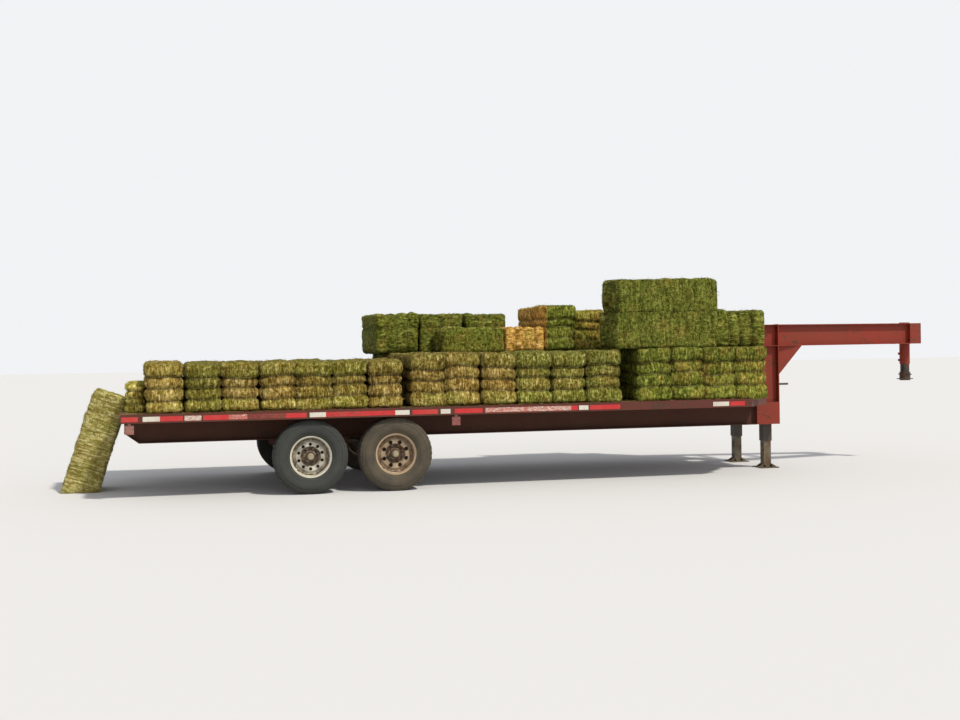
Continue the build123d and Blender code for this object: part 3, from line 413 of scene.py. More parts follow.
def baleSurface(size, rng, coarse, flakes, upright, bite):
    # In the bale's own directions: lengthwise, the way the strings are spaced, and thickness. The skin starts a
    # little inside the CAD block, because bulges and stems stand out from it
    spacing, creaseDepth, _, rounding, uneven = flakes
    slabs = bales["slabs"]
    size = np.array(size) - bales["skin"]
    counts = [max(4, int(round(n))) for n in size / (np.array(bales["cells"]) * coarse)]
    places, quads = gridBox(counts)
    half = size / 2
    points = places / np.array(counts) * size - half
    core = np.clip(points, -(half - rounding), half - rounding)
    outward = points - core
    normal = outward / np.maximum(np.linalg.norm(outward, axis=1, keepdims=True), 1e-9)
    points = core + normal * rounding
    grain = points.copy()
    shift = Vector([rng.uniform(0, 50) for _ in range(3)])
    across = np.linalg.norm(normal[:, [0, 2]], axis=1)
    sideways = np.linalg.norm(normal[:, 1:], axis=1)

    # The strings' grooves wander, each slab has its own push, and the middle slabs' ends are drawn in most
    sag = [rng.uniform(-bales["stringSag"], bales["stringSag"]) for _ in range(slabs + 1)]
    sag[3 if upright > 0 else 1] += bales["topShare"] * upright
    phase = (points[:, 1] / size[1] + 0.5) * slabs
    wander = noiseAt(points[:, [0, 2, 1]], bales["wanderWaves"], shift) * bales["stringWander"]
    phase = phase + (wander + np.array(sag)[np.clip(np.round(phase), 0, slabs).astype(int)])
    nearest = np.clip(np.round(phase), 1, slabs - 1)
    gap = (phase - nearest) * size[1] / slabs
    groove = np.exp(-((gap / bales["stringWidth"]) ** 2))
    bulge = np.clip(1 - (2 * (phase % 1) - 1) ** 2, 0, 1)
    push = np.array([rng.uniform(*bales["slabPush"]) for _ in range(slabs)])
    push[[0, -1]] += bales["outerSlab"]
    slab = np.clip(np.floor(phase), 0, slabs - 1).astype(int)
    offset = across * (bite * (bales["pillow"] * bulge - bales["stringDepth"] * groove) + push[slab])
    toEdge = np.clip(np.abs(points[:, 2]) / half[2], 0, 1) ** bales["edgeSharpness"]
    drawn = np.array(bales["endShares"][0 if rng.random() < 0.5 else 1])[slab]
    pull = np.abs(normal[:, 0]) * toEdge * drawn
    offset -= bales["endPull"] * pull

    # Flakes: slices along the bale, each pushed in or out, with a crease between
    flakeCount = max(2, int(round(size[0] / spacing)))
    spread = bales["flakeSpread"]
    edges = np.sort([(k + rng.uniform(-spread, spread)) / flakeCount * size[0] - half[0]
                     for k in range(1, flakeCount)])
    bend = noiseAt(points[:, [1, 2, 0]] * (1, 1, 0) + (0, 0, 7), bales["bendWaves"], shift)
    along = points[:, 0] + bend * bales["flakeBend"]
    flakePush = np.array([rng.uniform(-1, 1) for _ in range(flakeCount + 1)]) * bales["flakeStep"]
    toCrease = np.min(np.abs(along[:, None] - edges[None, :]), axis=1)
    crease = np.exp(-((toCrease / bales["creaseWidth"]) ** 2))
    offset += sideways * (flakePush[np.searchsorted(edges, along)] - creaseDepth * crease)
    moved = [Vector(p) + shift for p in points]
    offset += np.array([sum(high * noise.noise(q * scale) for high, scale in bales["lumps"]) for q in moved]) * uneven
    points = points + normal * offset[:, None]

    # Painted shade, to darken the colour in the strings' grooves, the flakes' creases, the drawn-in ends and the
    # rounded edges
    rim = (1 - np.max(np.abs(normal), axis=1)) / (1 - math.sqrt(0.5))
    paintedShade = np.clip(across * groove * bales["grooveShade"] * bite + sideways * crease * bales["creaseShade"]
                     + pull * bales["endShade"] + np.clip(rim, 0, 1) * bales["rimShade"], 0, 1)

    # Three strings lie in the grooves: round the bale, the skin's lowest point in each step of the way
    loops, steps = [], bales["twineSteps"]
    way = np.arctan2(grain[:, 2] / half[2], grain[:, 0] / half[0])
    step = ((way + math.pi) / (2 * math.pi) * steps).astype(int) % steps
    for k in range(1, slabs):
        loop = []
        for n in range(steps):
            chosen = np.nonzero((step == n) & (nearest == k) & (across > bales["twineFacing"]))[0]
            if len(chosen):
                best = chosen[np.argmin(np.abs(gap[chosen]))]
                loop.append(points[best] + normal[best] * bales["twineLift"])
        if len(loop) > steps * bales["twineShare"]:
            loops.append(np.array(loop))
    return points, quads, grain, slab, paintedShade, normal, loops


# Columns: kind of hay, gold amount and brightness of the slabs from the bottom (or from one side), stems' share,
# and how much gold each bale in the node adds, in order
hayLooks = {
    "hay_rear": ("Straw", (0.45, 0.65, 0.7, 0.4), (1.05, 1.0, 1.0, 0.95), 1.0, (-0.5, 0.1, 0.1)),
    "hay_near_rear": ("Gold", (0.30, 0.8, 0.75, 0.1), (1.12, 1.0, 0.86, 0.9), 1.0,
                      (-0.6, 0.1, 0.2, -0.1, -0.2, 0.45)),
    "hay_near_middle": ("Mixed", (0.25, 0.75, 0.65, 0.2), (1.15, 1.04, 0.92, 0.9), 1.0,
                        (0.3, 0.3, 0.25, -0.4, -0.4, -0.4)),
    "hay_near_front": ("Green", (0.05, 0.2, 0.2, 0.0), (1.0, 0.96, 0.93, 0.80), 1.0, (-0.4, 0.0, 0.05, 0.15)),
    "hay_far_rear": ("Gold", (0.3, 0.5, 0.5, 0.1), (1, 1, 0.95, 0.85), 0.5, (0,)),
    "hay_far_front": ("Mixed", (0.2, 0.4, 0.4, 0.1), (1, 1, 0.95, 0.85), 0.5, (0,)),
    "hay_second_middle": ("Green", (0.1,) * 4, (0.95,) * 4, 0.9, (0, 1.4, -0.1, 0.3)),
    "hay_second_far": ("Green", (0,) * 4, (0.86,) * 4, 0.7, (0,)),
    "hay_second_front": ("Green", (0, 0.05, 0.05, 0), (0.80, 0.82, 0.80, 0.78), 1.0, (0, 0.05, 0, 0)),
    "hay_top": ("Green", (0, 0, 0.05, 0), (0.85, 0.88, 0.88, 0.88), 1.3, (0,)),
    "hay_leaning": ("Mixed", (0.3, 0.35, 0.3, 0.25), (1.0, 1.02, 1.0, 1.0), 1.3, (0,)),
}
hayFinishes = {"hay_leaning": "hayPale"}  # a bale that isn't like the others of its slot
grooveShares = {"hay_second_far": 0.45, "hay_second_middle": 0.65}  # strings that bite less than the usual 0.9
# A row that shows two layers, the upper one's foot at this height
seams = {"hay_second_far": {"height": 1.712, "width": 0.012, "depth": 0.018, "wander": 0.008, "shade": 0.75}}
# Painted light: this end faces away from the key sun, and is brightened as if lit
strawEndsWithPaintedLight = {("hay_second_middle", 2): 1.8}  # this bale's rear end is gold, and brighter by this much
# Painted light: bales brightened by this much over the rest of their node, mostly to make up for shade from bales
# beside or above them
paintedLightBales = {("hay_second_middle", 1): 1.9, ("hay_second_middle", 3): 1.35, ("hay_rear", 0): 1.7,
            ("hay_near_front", 3): 1.12}  # brighter than the rest of their node


def newTree(name, **sockets):
    # A Geometry Nodes tree and its inputs: the geometry, the named sizes and the finish
    tree = bpy.data.node_groups.new(name, "GeometryNodeTree")
    for title, kind in {"Geometry": "Geometry", **sockets, "Finish": "Material"}.items():
        tree.interface.new_socket(title, in_out="INPUT", socket_type="NodeSocket" + kind)
    tree.interface.new_socket("Geometry", in_out="OUTPUT", socket_type="NodeSocketGeometry")
    return tree, tree.nodes.new("NodeGroupInput").outputs


def endTree(tree, source, geometry):
    # The copies made real, then their finish
    real = put(tree, "GeometryNodeRealizeInstances", {"Geometry": geometry})
    finish = put(tree, "GeometryNodeSetMaterial", {"Geometry": real.outputs[0], "Material": source["Finish"]})
    feed(tree.nodes.new("NodeGroupOutput").inputs[0], finish.outputs[0])
    return tree


def stemTree(name, keepSkin):
    # Loose stems over a skin, joined with it where it's kept. Each lies along the skin in a random direction, its
    # tip lifted a little
    tree, source = newTree(name, Density="Float", Length="Float", Width="Float", Seed="Int")
    scatter = put(tree, "GeometryNodeDistributePointsOnFaces",
                  {"Mesh": source["Geometry"], "Density": source["Density"], "Seed": source["Seed"]}).outputs
    stem = put(tree, "GeometryNodeMeshCone", {"Vertices": 3, "Radius Top": 0.0, "Radius Bottom": source["Width"],
                                              "Depth": source["Length"]}, fill_type="NGON")
    way, grow = (put(tree, "FunctionNodeRandomValue", {"Min": low, "Max": high, "Seed": source["Seed"]},
                     data_type="FLOAT_VECTOR").outputs["Value"]
                 for low, high in (((-1, -1, -1), (1, 1, 1)), ((0.5, 0.5, 0.3), (1.4, 1.0, 1.1))))
    way, normal = Value(way), Value(scatter["Normal"])
    level = way.vector("CROSS_PRODUCT", {0: way, 1: normal})
    lift = normal.vector("SCALE", {0: normal, "Scale": bales["stemLift"]})
    aim = level.vector("ADD", {0: level.vector("NORMALIZE", {0: level}), 1: lift})
    turn = put(tree, "FunctionNodeAlignRotationToVector", {"Vector": aim}, axis="Z")
    spread = put(tree, "GeometryNodeInstanceOnPoints", {
        "Points": scatter["Points"], "Instance": stem.outputs["Mesh"], "Rotation": turn.outputs[0], "Scale": grow})
    join = put(tree, "GeometryNodeJoinGeometry")
    if keepSkin:
        feed(join.inputs[0], source["Geometry"])
    feed(join.inputs[0], spread.outputs[0])
    return endTree(tree, source, join.outputs[0])


def growOn(piece, tree, values):
    # Runs a Geometry Nodes tree on a piece and keeps the result as a plain mesh
    modifier = piece.modifiers.new(tree.name, "NODES")
    modifier.node_group = tree
    for item in tree.interface.items_tree:
        if item.in_out == "INPUT" and item.name in values:
            modifier[item.identifier] = values[item.name]
    shown = piece.evaluated_get(bpy.context.evaluated_depsgraph_get())
    mesh = bpy.data.meshes.new_from_object(shown)
    piece.modifiers.clear()
    old, piece.data = piece.data, mesh
    bpy.data.meshes.remove(old)
    mesh.name = piece.name


def triangles(piece):
    return sum(len(p.vertices) - 2 for p in piece.data.polygons)


# The leaning bale's foot is at its box's rear low corner. Its length leans forward, its thickness points forward
lean = {"length": 1.145, "stack": 0.560, "thick": 0.360, "angle": 18.0, "cut": 0.002, "lowest": 0.001,
        "twineLowest": 0.004}


def leaningFrame():
    low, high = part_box("hay_leaning")
    angle = math.radians(lean["angle"])
    upward = np.array([math.sin(angle), 0, math.cos(angle)])
    forward = np.array([math.cos(angle), 0, -math.sin(angle)])
    left = np.array([0, 1.0, 0])
    foot = np.array([low.x, (low.y + high.y) / 2, 0.0])
    middle = foot + upward * lean["length"] / 2 + forward * lean["thick"] / 2
    turn = np.stack([upward, left, np.cross(upward, left)], axis=1)
    return (lean["length"], lean["stack"], lean["thick"]), turn, middle


def baleFrame(low, high):
    # The longest side is the bale's length, the shortest its thickness, and the strings are spaced on the other
    extent = high - low
    order = sorted(range(3), key=lambda axis: -extent[axis])
    turn = np.zeros((3, 3))
    for column, axis in enumerate(order):
        turn[axis, column] = 1.0
    if np.linalg.det(turn) < 0:
        turn[:, 2] *= -1
    return [extent[axis] for axis in order], turn, (low + high) / 2


def cutAtGround(piece):
    # The leaning bale stands on its trodden end
    work = bmesh.new()
    work.from_mesh(piece.data)
    cut = bmesh.ops.bisect_plane(work, geom=work.verts[:] + work.edges[:] + work.faces[:],
                                 plane_co=(0, 0, lean["cut"]), plane_no=(0, 0, 1), clear_inner=True)
    rim = [item for item in cut["geom_cut"] if isinstance(item, bmesh.types.BMEdge)]
    bmesh.ops.holes_fill(work, edges=rim, sides=0)
    bmesh.ops.triangulate(work, faces=[face for face in work.faces if len(face.verts) > 4])
    work.to_mesh(piece.data)
    work.free()


def makeBale(node, index, low, high):
    # One bale in the trailer's frame: its skin, grain, tone and strings, and its block's area
    _, gold, bright, _, extra = hayLooks[node]
    leaning = node == "hay_leaning"
    size, turn, middle = leaningFrame() if leaning else baleFrame(low, high)
    rng = random.Random(sum(map(ord, node)) * 31 + index * 7)
    coarse = bales["farCoarser"] if node.startswith("hay_far") else 1.0
    flakes = flakeLooks.get(node, plainFlakes)
    points, quads, grain, slab, paintedShade, normal, loops = baleSurface(
        size, rng, coarse, flakes, round(turn[2, 1]), grooveShares.get(node, bales["bite"]))
    sway = (Matrix.Rotation(rng.uniform(-1, 1) * bales["turn"], 3, "Z")
            @ Matrix.Rotation(rng.uniform(-1, 1) * bales["turn"] * 0.5, 3, "X"))
    sway = np.identity(3) if leaning else np.array(sway)
    skin, *strings = (local @ turn.T @ sway.T + middle for local in (points, *loops))
    facing = normal @ turn.T
    if turn[2, 1] < -0.5:
        slab = bales["slabs"] - 1 - slab
    tone = np.ones((len(points), 4))
    tone[:, 0] = np.clip(np.array(gold)[slab] + extra[index % len(extra)], 0, 1)
    # Slab brightness, a little random tone, and painted light for the bales listed in the table of brightened bales
    tone[:, 1] = np.array(bright)[slab] * rng.uniform(*bales["toneRange"]) * paintedLightBales.get((node, index), 1.0)
    # The rear end is made gold straw, and brightened as painted light though it faces away from the key sun
    if (node, index) in strawEndsWithPaintedLight:
        rearEnd = facing[:, 0] < -0.5
        tone[rearEnd, 0] = 1.0
        tone[rearEnd, 1] *= strawEndsWithPaintedLight[node, index]
    if node in seams:
        seam = seams[node]
        level = seam["height"] + seam["wander"] * noiseAt(skin * (1, 1, 0) + (0, 0, 3), (5, 5, 1), Vector())
        cut = np.exp(-(((skin[:, 2] - level) / seam["width"]) ** 2))
        skin = skin - facing * (cut * seam["depth"])[:, None]
        # The seam's groove gets painted shade as well
        paintedShade = np.maximum(paintedShade, seam["shade"] * cut)
    tone[:, 2] = paintedShade
    tone[:, 3] = flakes[2]
    grain = grain + [rng.uniform(0, 9) for _ in range(3)]
    for loop in strings:
        loop[:, 2] = np.maximum(loop[:, 2], lean["twineLowest"])  # flat under the leaning bale
    return skin, quads, grain, tone, strings, 2 * (size[0] * size[1] + size[1] * size[2] + size[0] * size[2])


def makeBales():
    tree = stemTree("looseStems", True)
    runs, total = [], 0
    for node, (kind, _, _, stemShare, _) in hayLooks.items():
        made = [makeBale(node, index, *box) for index, box in enumerate(islands(node))]
        skins, quads, grains, tones, strings, areas = zip(*made)
        quads = map(np.add, quads, np.cumsum([0, *map(len, skins)]))
        verts, faces, grain, tone = (np.concatenate([*rows]) for rows in (skins, quads, grains, tones))
        runs += sum(strings, [])
        finish = hayFinishes.get(node, "hay" + kind)
        piece = addPiece(node.replace("hay_", "bales_"), verts, faces, finish, "hay_" + kind.lower(), nodes=(node,),
                         grain=grain, tone=tone)
        if node == "hay_leaning":
            cutAtGround(piece)
        growOn(piece, tree, {"Density": bales["stemsPerBale"] * stemShare * len(made) / sum(areas),
                             "Length": bales["stemLength"], "Width": bales["stemWidth"],
                             "Seed": sum(map(ord, node)), "Finish": finishes[finish]})
        if node == "hay_leaning":
            for vertex in piece.data.vertices:
                vertex.co.z = max(vertex.co.z, lean["lowest"])
        total += triangles(piece)
        print("bales", node, len(made), "triangles", triangles(piece))
    print("hay triangles", total)
    return runs


twineRuns = makeBales()


def circle(middle, reach, count, first, second, lead=0.0):
    # Points round a middle, in the plane of two directions
    turns = [2 * math.pi * (k + lead) / count for k in range(count)]
    return [middle + (first * math.cos(a) + second * math.sin(a)) * reach for a in turns]


xAxis, yAxis, zAxis = Vector((1, 0, 0)), Vector((0, 1, 0)), Vector((0, 0, 1))


def rodAlong(path, radius, sides=6, closed=False):
    # A bar of round section along points, its ends closed. radius is one value or one for each point
    path = [Vector(p) for p in path]
    count = len(path)
    radii = [radius] * count if isinstance(radius, float) else radius
    verts, faces, across = [], [], None
    for k, point in enumerate(path):
        before = path[k - 1] if closed or k else point
        after = path[(k + 1) % count] if closed or k < count - 1 else point
        ahead = (after - before).normalized()
        across = ahead.orthogonal() if across is None else across - ahead * across.dot(ahead)
        across.normalize()
        verts += circle(point, radii[k], sides, across, ahead.cross(across))
    for k in range(count if closed else count - 1):
        a, b = k * sides, ((k + 1) % count) * sides
        faces += [(a + j, a + (j + 1) % sides, b + (j + 1) % sides, b + j) for j in range(sides)]
    if not closed:
        faces += [tuple(range(sides))[::-1], tuple(range((count - 1) * sides, count * sides))]
    return verts, faces


def gather(parts):
    verts, faces = [], []
    for partVerts, partFaces in parts:
        start = len(verts)
        verts += [tuple(v) for v in partVerts]
        faces += [[i + start for i in face] for face in partFaces]
    return verts, faces


def slabBetween(low, high):
    (x0, y0, z0), (x1, y1, z1) = low, high
    verts = [(x0, y0, z0), (x1, y0, z0), (x1, y1, z0), (x0, y1, z0),
             (x0, y0, z1), (x1, y0, z1), (x1, y1, z1), (x0, y1, z1)]
    return verts, [(0, 3, 2, 1), (4, 5, 6, 7), (0, 1, 5, 4), (1, 2, 6, 5), (2, 3, 7, 6), (3, 0, 4, 7)]


def headTree():
    # A bolt or nut on every point, standing along the point's facing
    tree, source = newTree("heads", Radius="Float", Crown="Float", Height="Float", Sides="Int")
    head = put(tree, "GeometryNodeMeshCone", {"Vertices": source["Sides"], "Radius Top": source["Crown"],
                                              "Radius Bottom": source["Radius"], "Depth": source["Height"]},
               fill_type="NGON")
    facing = put(tree, "GeometryNodeInputNamedAttribute", {"Name": "facing"}, data_type="FLOAT_VECTOR")
    turn = put(tree, "FunctionNodeAlignRotationToVector", {"Vector": facing.outputs["Attribute"]}, axis="Z")
    spread = put(tree, "GeometryNodeInstanceOnPoints", {
        "Points": source["Geometry"], "Instance": head.outputs["Mesh"], "Rotation": turn.outputs[0]})
    return endTree(tree, source, spread.outputs[0])


heads = headTree()


def addHeads(name, points, facings, sizes, body="root"):
    # Bolts or nuts of dark steel. facings holds one direction for all of them, or one for each
    facings = [tuple(f) for f in facings] * (len(points) // len(facings))
    piece = addPiece(name, points, [], "darkSteel", "dark_steel", body, smooth=False, facing=facings)
    growOn(piece, heads, {**sizes, "Finish": finishes["darkSteel"]})


tyres = {
    "radius": 0.385, "half": 0.1175, "bead": 0.2033, "beadTop": 0.218, "beadHalf": 0.0757,
    "lipRadius": 0.221, "lip": 0.0893, "wallSteps": 16, "shoulder": (0.014, 0.016), "chamfer": (0.004, 0.006),
    "treadHalf": 0.088, "grooves": (0.052, 0.018, -0.018, -0.052), "grooveHalf": 0.0042, "grooveDepth": 0.010,
    "grooveEdge": 0.012, "zigzag": 0.0045, "blocks": 42, "perBlock": 4, "notch": 0.006,
    "rings": (0.238, 0.258, 0.3285, 0.3615), "ringHalf": 0.0022, "ringRise": 0.0026, "edge": 0.0010,
    "notchFrom": 0.93, "notchDust": 0.4, "sharp": 38,
}


def tyreProfile():
    # From one bead over the tread to the other. Columns: radius, place across, dust, shares of zigzag and notch
    bead, beadHalf, lip, lipRadius = tyres["bead"], tyres["beadHalf"], tyres["lip"], tyres["lipRadius"]
    outer, treadHalf, g = tyres["radius"], tyres["treadHalf"], tyres["grooveHalf"]
    wall = [(bead, beadHalf * 0.6, 0.9, 0, 0), (bead, beadHalf, 0.9, 0, 0), (tyres["beadTop"], beadHalf, 0.9, 0, 0),
            (lipRadius, lip, 0.95, 0, 0)]
    # The side wall bulges on an arc, with moulded rings
    marks, spans = [], []
    for at in tyres["rings"]:
        low, high = at - tyres["ringHalf"], at + tyres["ringHalf"]
        marks += [(low - tyres["edge"], 0), (low, 1), (high, 1), (high + tyres["edge"], 0)]
        spans.append((low - 3 * tyres["edge"], high + 3 * tyres["edge"]))
    reach = outer - tyres["shoulder"][0] - lipRadius
    for k in range(1, tyres["wallSteps"] + 1):
        radius = lipRadius + reach * k / tyres["wallSteps"]
        if not any(near < radius < far for near, far in spans):
            marks.append((radius, 0))
    widen = tyres["half"] - tyres["shoulder"][1] - lip
    for radius, ring in sorted(marks):
        t = (radius - lipRadius) / reach
        sag = (tyres["half"] - lip - widen * 0.5) * (1 - (2 * t - 1) ** 2)
        across = lip + widen * t + sag + ring * tyres["ringRise"]
        wall.append((radius, across, 0.75 - 0.35 * t - 0.25 * ring, 0, 1.0 if t > tyres["notchFrom"] else 0))
    wall += [(outer - tyres["chamfer"][0], treadHalf + tyres["chamfer"][1], 0.25, 0, 1.0),
             (outer, treadHalf, 0.15, 0, 1.0)]
    tread = []
    for at in tyres["grooves"]:
        for sign, order in ((1, 1), (-1, -1)):
            flank = [(outer, at + sign * (g + tyres["grooveEdge"]), 0.12, 0, 0), (outer, at + sign * g, 0.2, 1, 0),
                     (outer - tyres["grooveDepth"], at + sign * g * 0.6, 0.9, 1, 0)]
            tread += flank[::order]
    return wall + tread + [(radius, -across, *rest) for radius, across, *rest in reversed(wall)]


def makeTyre(wheel, middle, side, finish):
    # The profile is revolved round the axle, with a zigzag in the grooves and notches at the shoulders
    profile = tyreProfile()
    perBlock, count = tyres["perBlock"], len(profile)
    around = tyres["blocks"] * perBlock
    verts, faces, wear = [], [], []
    for k in range(around):
        turn = 2 * math.pi * k / around
        swing = (-1, 0, 1, 0)[k % perBlock] * tyres["zigzag"]
        cut = 0.0 if k % perBlock else tyres["notch"]
        for radius, across, dust, zigzag, notch in profile:
            r = radius - cut * notch
            verts.append((middle[0] + r * math.sin(turn), middle[1] + (across + swing * zigzag) * side,
                          middle[2] - r * math.cos(turn)))
            wear.append(dust + (tyres["notchDust"] if cut * notch else 0))
        here, there = k * count, ((k + 1) % around) * count
        for j in range(count):
            quad = [here + j, there + j, there + (j + 1) % count, here + (j + 1) % count]
            faces.append(quad if side < 0 else quad[::-1])
    tyre = addPiece("tyre_detail_" + wheel, verts, faces, finish, "tyre", "wheel_" + wheel, ("tyre_" + wheel,),
                    wear=wear)
    tyre.data.set_sharp_from_angle(angle=math.radians(tyres["sharp"]))


studs = {"count": 8, "circle": 0.08255, "seat": 0.0065, "sunk": 0.001, "valve": 0.158, "valveTurn": 200}
nutSizes = {"Radius": 0.01512, "Crown": 0.0135, "Height": 0.020, "Sides": 6}
studSizes = {"Radius": 0.0068, "Crown": 0.0058, "Height": 0.007, "Sides": 8}
valveBars = ((0.012, 0.050, 0.006), (0.050, 0.062, 0.0045))  # near end, far end and radius


def makeWheelTrim(wheel, middle, side, rubber):
    # Wheel nuts on the disc, each with its stud's end, and the valve through the rim's well
    body, middle, out = "wheel_" + wheel, Vector(middle), yAxis * side
    ring = [p + out * studs["seat"] for p in circle(middle, studs["circle"], studs["count"], xAxis, zAxis, 0.5)]
    addHeads("wheel_nuts_" + wheel, ring, [out], nutSizes, body)
    ends = [p + out * (nutSizes["Height"] - studs["sunk"]) for p in ring]
    addHeads("wheel_studs_" + wheel, ends, [out], studSizes, body)
    turn = math.radians(studs["valveTurn"])
    at = middle + (xAxis * math.cos(turn) + zAxis * math.sin(turn)) * studs["valve"]
    bars = [rodAlong([at + out * near, at + out * far], radius, 8) for near, far, radius in valveBars]
    addPiece("valve_" + wheel, *gather(bars), rubber, "tyre", body, smooth=False)


for axle in ("rear", "front"):
    for sideName, side in (("left", 1), ("right", -1)):
        wheel = axle + "_" + sideName
        low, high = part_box("rim_" + wheel)
        middle = ((low.x + high.x) / 2, (low.y + high.y) / 2, (low.z + high.z) / 2)
        makeTyre(wheel, middle, side, axle + "Tyre")
        makeWheelTrim(wheel, middle, side, axle + "Tyre")
print("wheels made")

tape = {"low": 0.026, "high": 0.074, "proud": 0.0009, "sunk": 0.0003}
# Reflective tape on both side rails, in metres from the deck's rear edge: start, end, wear
tapeRuns = {
    "Red": ((0.005, 0.166, 0.05), (0.377, 0.603, 0.10), (0.800, 1.056, 0.30), (1.250, 1.629, 0.95),
        (1.629, 1.840, 0.15), (2.036, 2.400, 0.62), (2.400, 2.760, 0.50), (2.941, 3.213, 0.12), (3.394, 3.695, 0.25),
        (4.676, 4.751, 0.30), (4.887, 5.234, 0.35), (6.524, 6.700, 0.30)),
    "White": ((0.211, 0.377, 0.10), (0.618, 0.784, 0.72), (1.056, 1.240, 0.95), (1.870, 2.036, 0.35),
        (2.760, 2.911, 0.20), (3.243, 3.348, 0.15), (3.725, 4.200, 0.84), (4.200, 4.676, 0.80), (4.766, 4.872, 0.20),
        (6.320, 6.510, 0.45)),
}


def makeTape():
    for kind, runs in tapeRuns.items():
        parts, wear = [], []
        for start, end, worn in runs:
            for side in (-1, 1):
                face = side * abs(nearSide)
                ys = sorted((face - side * tape["sunk"], face + side * tape["proud"]))
                parts.append(slabBetween((deckRear + start, ys[0], deckTop - tape["high"]),
                                         (deckRear + end, ys[1], deckTop - tape["low"])))
                wear += [worn] * 8
        addPiece("tape_" + kind.lower(), *gather(parts), "tape" + kind, "marker_red", smooth=False, wear=wear)


makeTape()
print("tape made")

twine = {"radius": 0.0022, "sides": 3}


def makeTwine():
    eased = [(np.roll(run, 1, axis=0) + 2 * run + np.roll(run, -1, axis=0)) / 4 for run in twineRuns]
    parts = [rodAlong(run, twine["radius"], twine["sides"], True) for run in eased]
    addPiece("baler_twine", *gather(parts), "twineFibre", "hay_straw")


deck = {"boards": 13, "crossFirst": 0.420, "crossPitch": 0.620, "crossCount": 11, "spread": 0.045,
        "wander": 0.004, "sunk": 0.0005}
boltSizes = {"Radius": 0.0095, "Crown": 0.0057, "Height": 0.0028, "Sides": 9}


def makeDeckBolts():
    # Two in each board over each cross-member, a little out of line
    low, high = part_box("deck_boards")
    pitch = (high.y - low.y) / deck["boards"]
    points = []
    for row in range(deck["crossCount"]):
        x = deckRear + deck["crossFirst"] + row * deck["crossPitch"]
        for board in range(deck["boards"]):
            for way in (-1, 1):
                y = low.y + (board + 0.5) * pitch + way * deck["spread"]
                points.append((x + deck["wander"] * ((board * 7 + row * 3) % 5 - 2), y, high.z - deck["sunk"]))
    addHeads("deck_bolts", points, [(0, 0, 1)], boltSizes)


# Loose stems that lie on the deck round the bales, in metres from its rear edge and middle line
chaff = {"perSquare": 1500.0, "length": 0.060, "width": 0.0021, "above": 0.003, "gold": 0.45, "bright": 1.1}
chaffPlaces = [
    (0.03, 7.05, -1.288, -1.232), (0.03, 6.75, 1.225, 1.288), (0.02, 0.24, -1.225, 1.220), (5.38, 5.50, -1.225, 0.0),
    (6.98, 7.17, -0.90, 0.90),
]


def makeChaff():
    verts, faces = [], []
    for x0, x1, y0, y1 in chaffPlaces:
        faces.append([len(verts) + k for k in range(4)])
        z = deckTop + chaff["above"]
        verts += [(deckRear + x, y, z) for x, y in ((x0, y0), (x1, y0), (x1, y1), (x0, y1))]
    piece = addPiece("loose_chaff", verts, faces, "hayGold", "hay_gold", grain=verts,
                     tone=[(chaff["gold"], chaff["bright"], 0, 0)] * len(verts))
    growOn(piece, stemTree("chaffStems", False), {
        "Density": chaff["perSquare"], "Length": chaff["length"], "Width": chaff["width"], "Seed": 11,
        "Finish": finishes["hayGold"]})
    print("chaff triangles", triangles(piece))


# Clamps that hold each spring on its axle: a bent rod on each side of the axle, a plate below and four nuts
clamps = {"axle": 0.0445, "saddle": 0.008, "leaves": 0.040, "inset": 0.030, "rod": 0.0075, "out": 0.0385,
          "along": 0.036, "top": 0.0075, "bend": 0.012, "drop": 0.012, "tail": 0.030, "plate": (0.056, 0.060, 0.008)}
clampNutSizes = {"Radius": 0.014, "Crown": 0.0135, "Height": 0.014, "Sides": 6}


def makeClamps():
    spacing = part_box("leaf_springs")[1].y - clamps["inset"]
    out, bend = clamps["out"], clamps["bend"]
    halfX, halfY, thick = clamps["plate"]
    rods, plates, nuts = [], [], []
    for axleX, axleZ in axlePlaces.values():
        under = axleZ - clamps["axle"] - clamps["drop"]
        crest = axleZ + clamps["axle"] + clamps["saddle"] + clamps["leaves"] + clamps["top"] - bend
        tail = under - clamps["tail"]
        for y in (-spacing, spacing):
            for x in (axleX - clamps["along"], axleX + clamps["along"]):
                turns = [math.pi * (1 - k / 6) for k in range(7)]
                bow = [(x, y + out * math.cos(a), crest + bend * math.sin(a)) for a in turns]
                rods.append(rodAlong([(x, y - out, tail), (x, y - out, crest), *bow, (x, y + out, tail)],
                                     clamps["rod"], 8))
                nuts += [(x, y - out, under - thick), (x, y + out, under - thick)]
            plates.append(slabBetween((axleX - halfX, y - halfY, under - thick), (axleX + halfX, y + halfY, under)))
    addPiece("spring_clamps", *gather(rods), "darkSteel", "dark_steel")
    addPiece("clamp_plates", *gather(plates), "darkSteel", "dark_steel", smooth=False)
    addHeads("clamp_nuts", nuts, [(0, 0, -1)], clampNutSizes)


makeTwine()
makeDeckBolts()
makeChaff()
makeClamps()
print("twine, deck bolts, chaff and spring clamps made")

weld = {
    "radius": 0.0048, "step": 0.0075, "swell": 0.22, "sides": 6, "jitter": 0.0006, "seed": 5,
    "short": 0.004, "clear": 0.006, "corner": 0.012,  # how far runs stop before an edge, a plate's end or a corner
    # The neck's sizes: half a web, half a gusset, half a flange, and the beams' middles at the riser and the block
    "web": 0.004, "gusset": 0.005, "flange": 0.059, "beamAtRiser": 0.510, "beamAtBlock": 0.165,
    "tie": 0.080, "tieReaches": (0.4205, 0.4065, 0.3136, 0.2996), "tubeNose": 0.062, "tube": 0.0632,
}


def weldRadii(count):
    return [weld["radius"] * (1 + weld["swell"] * (1 if k % 2 else -1)) for k in range(count)]


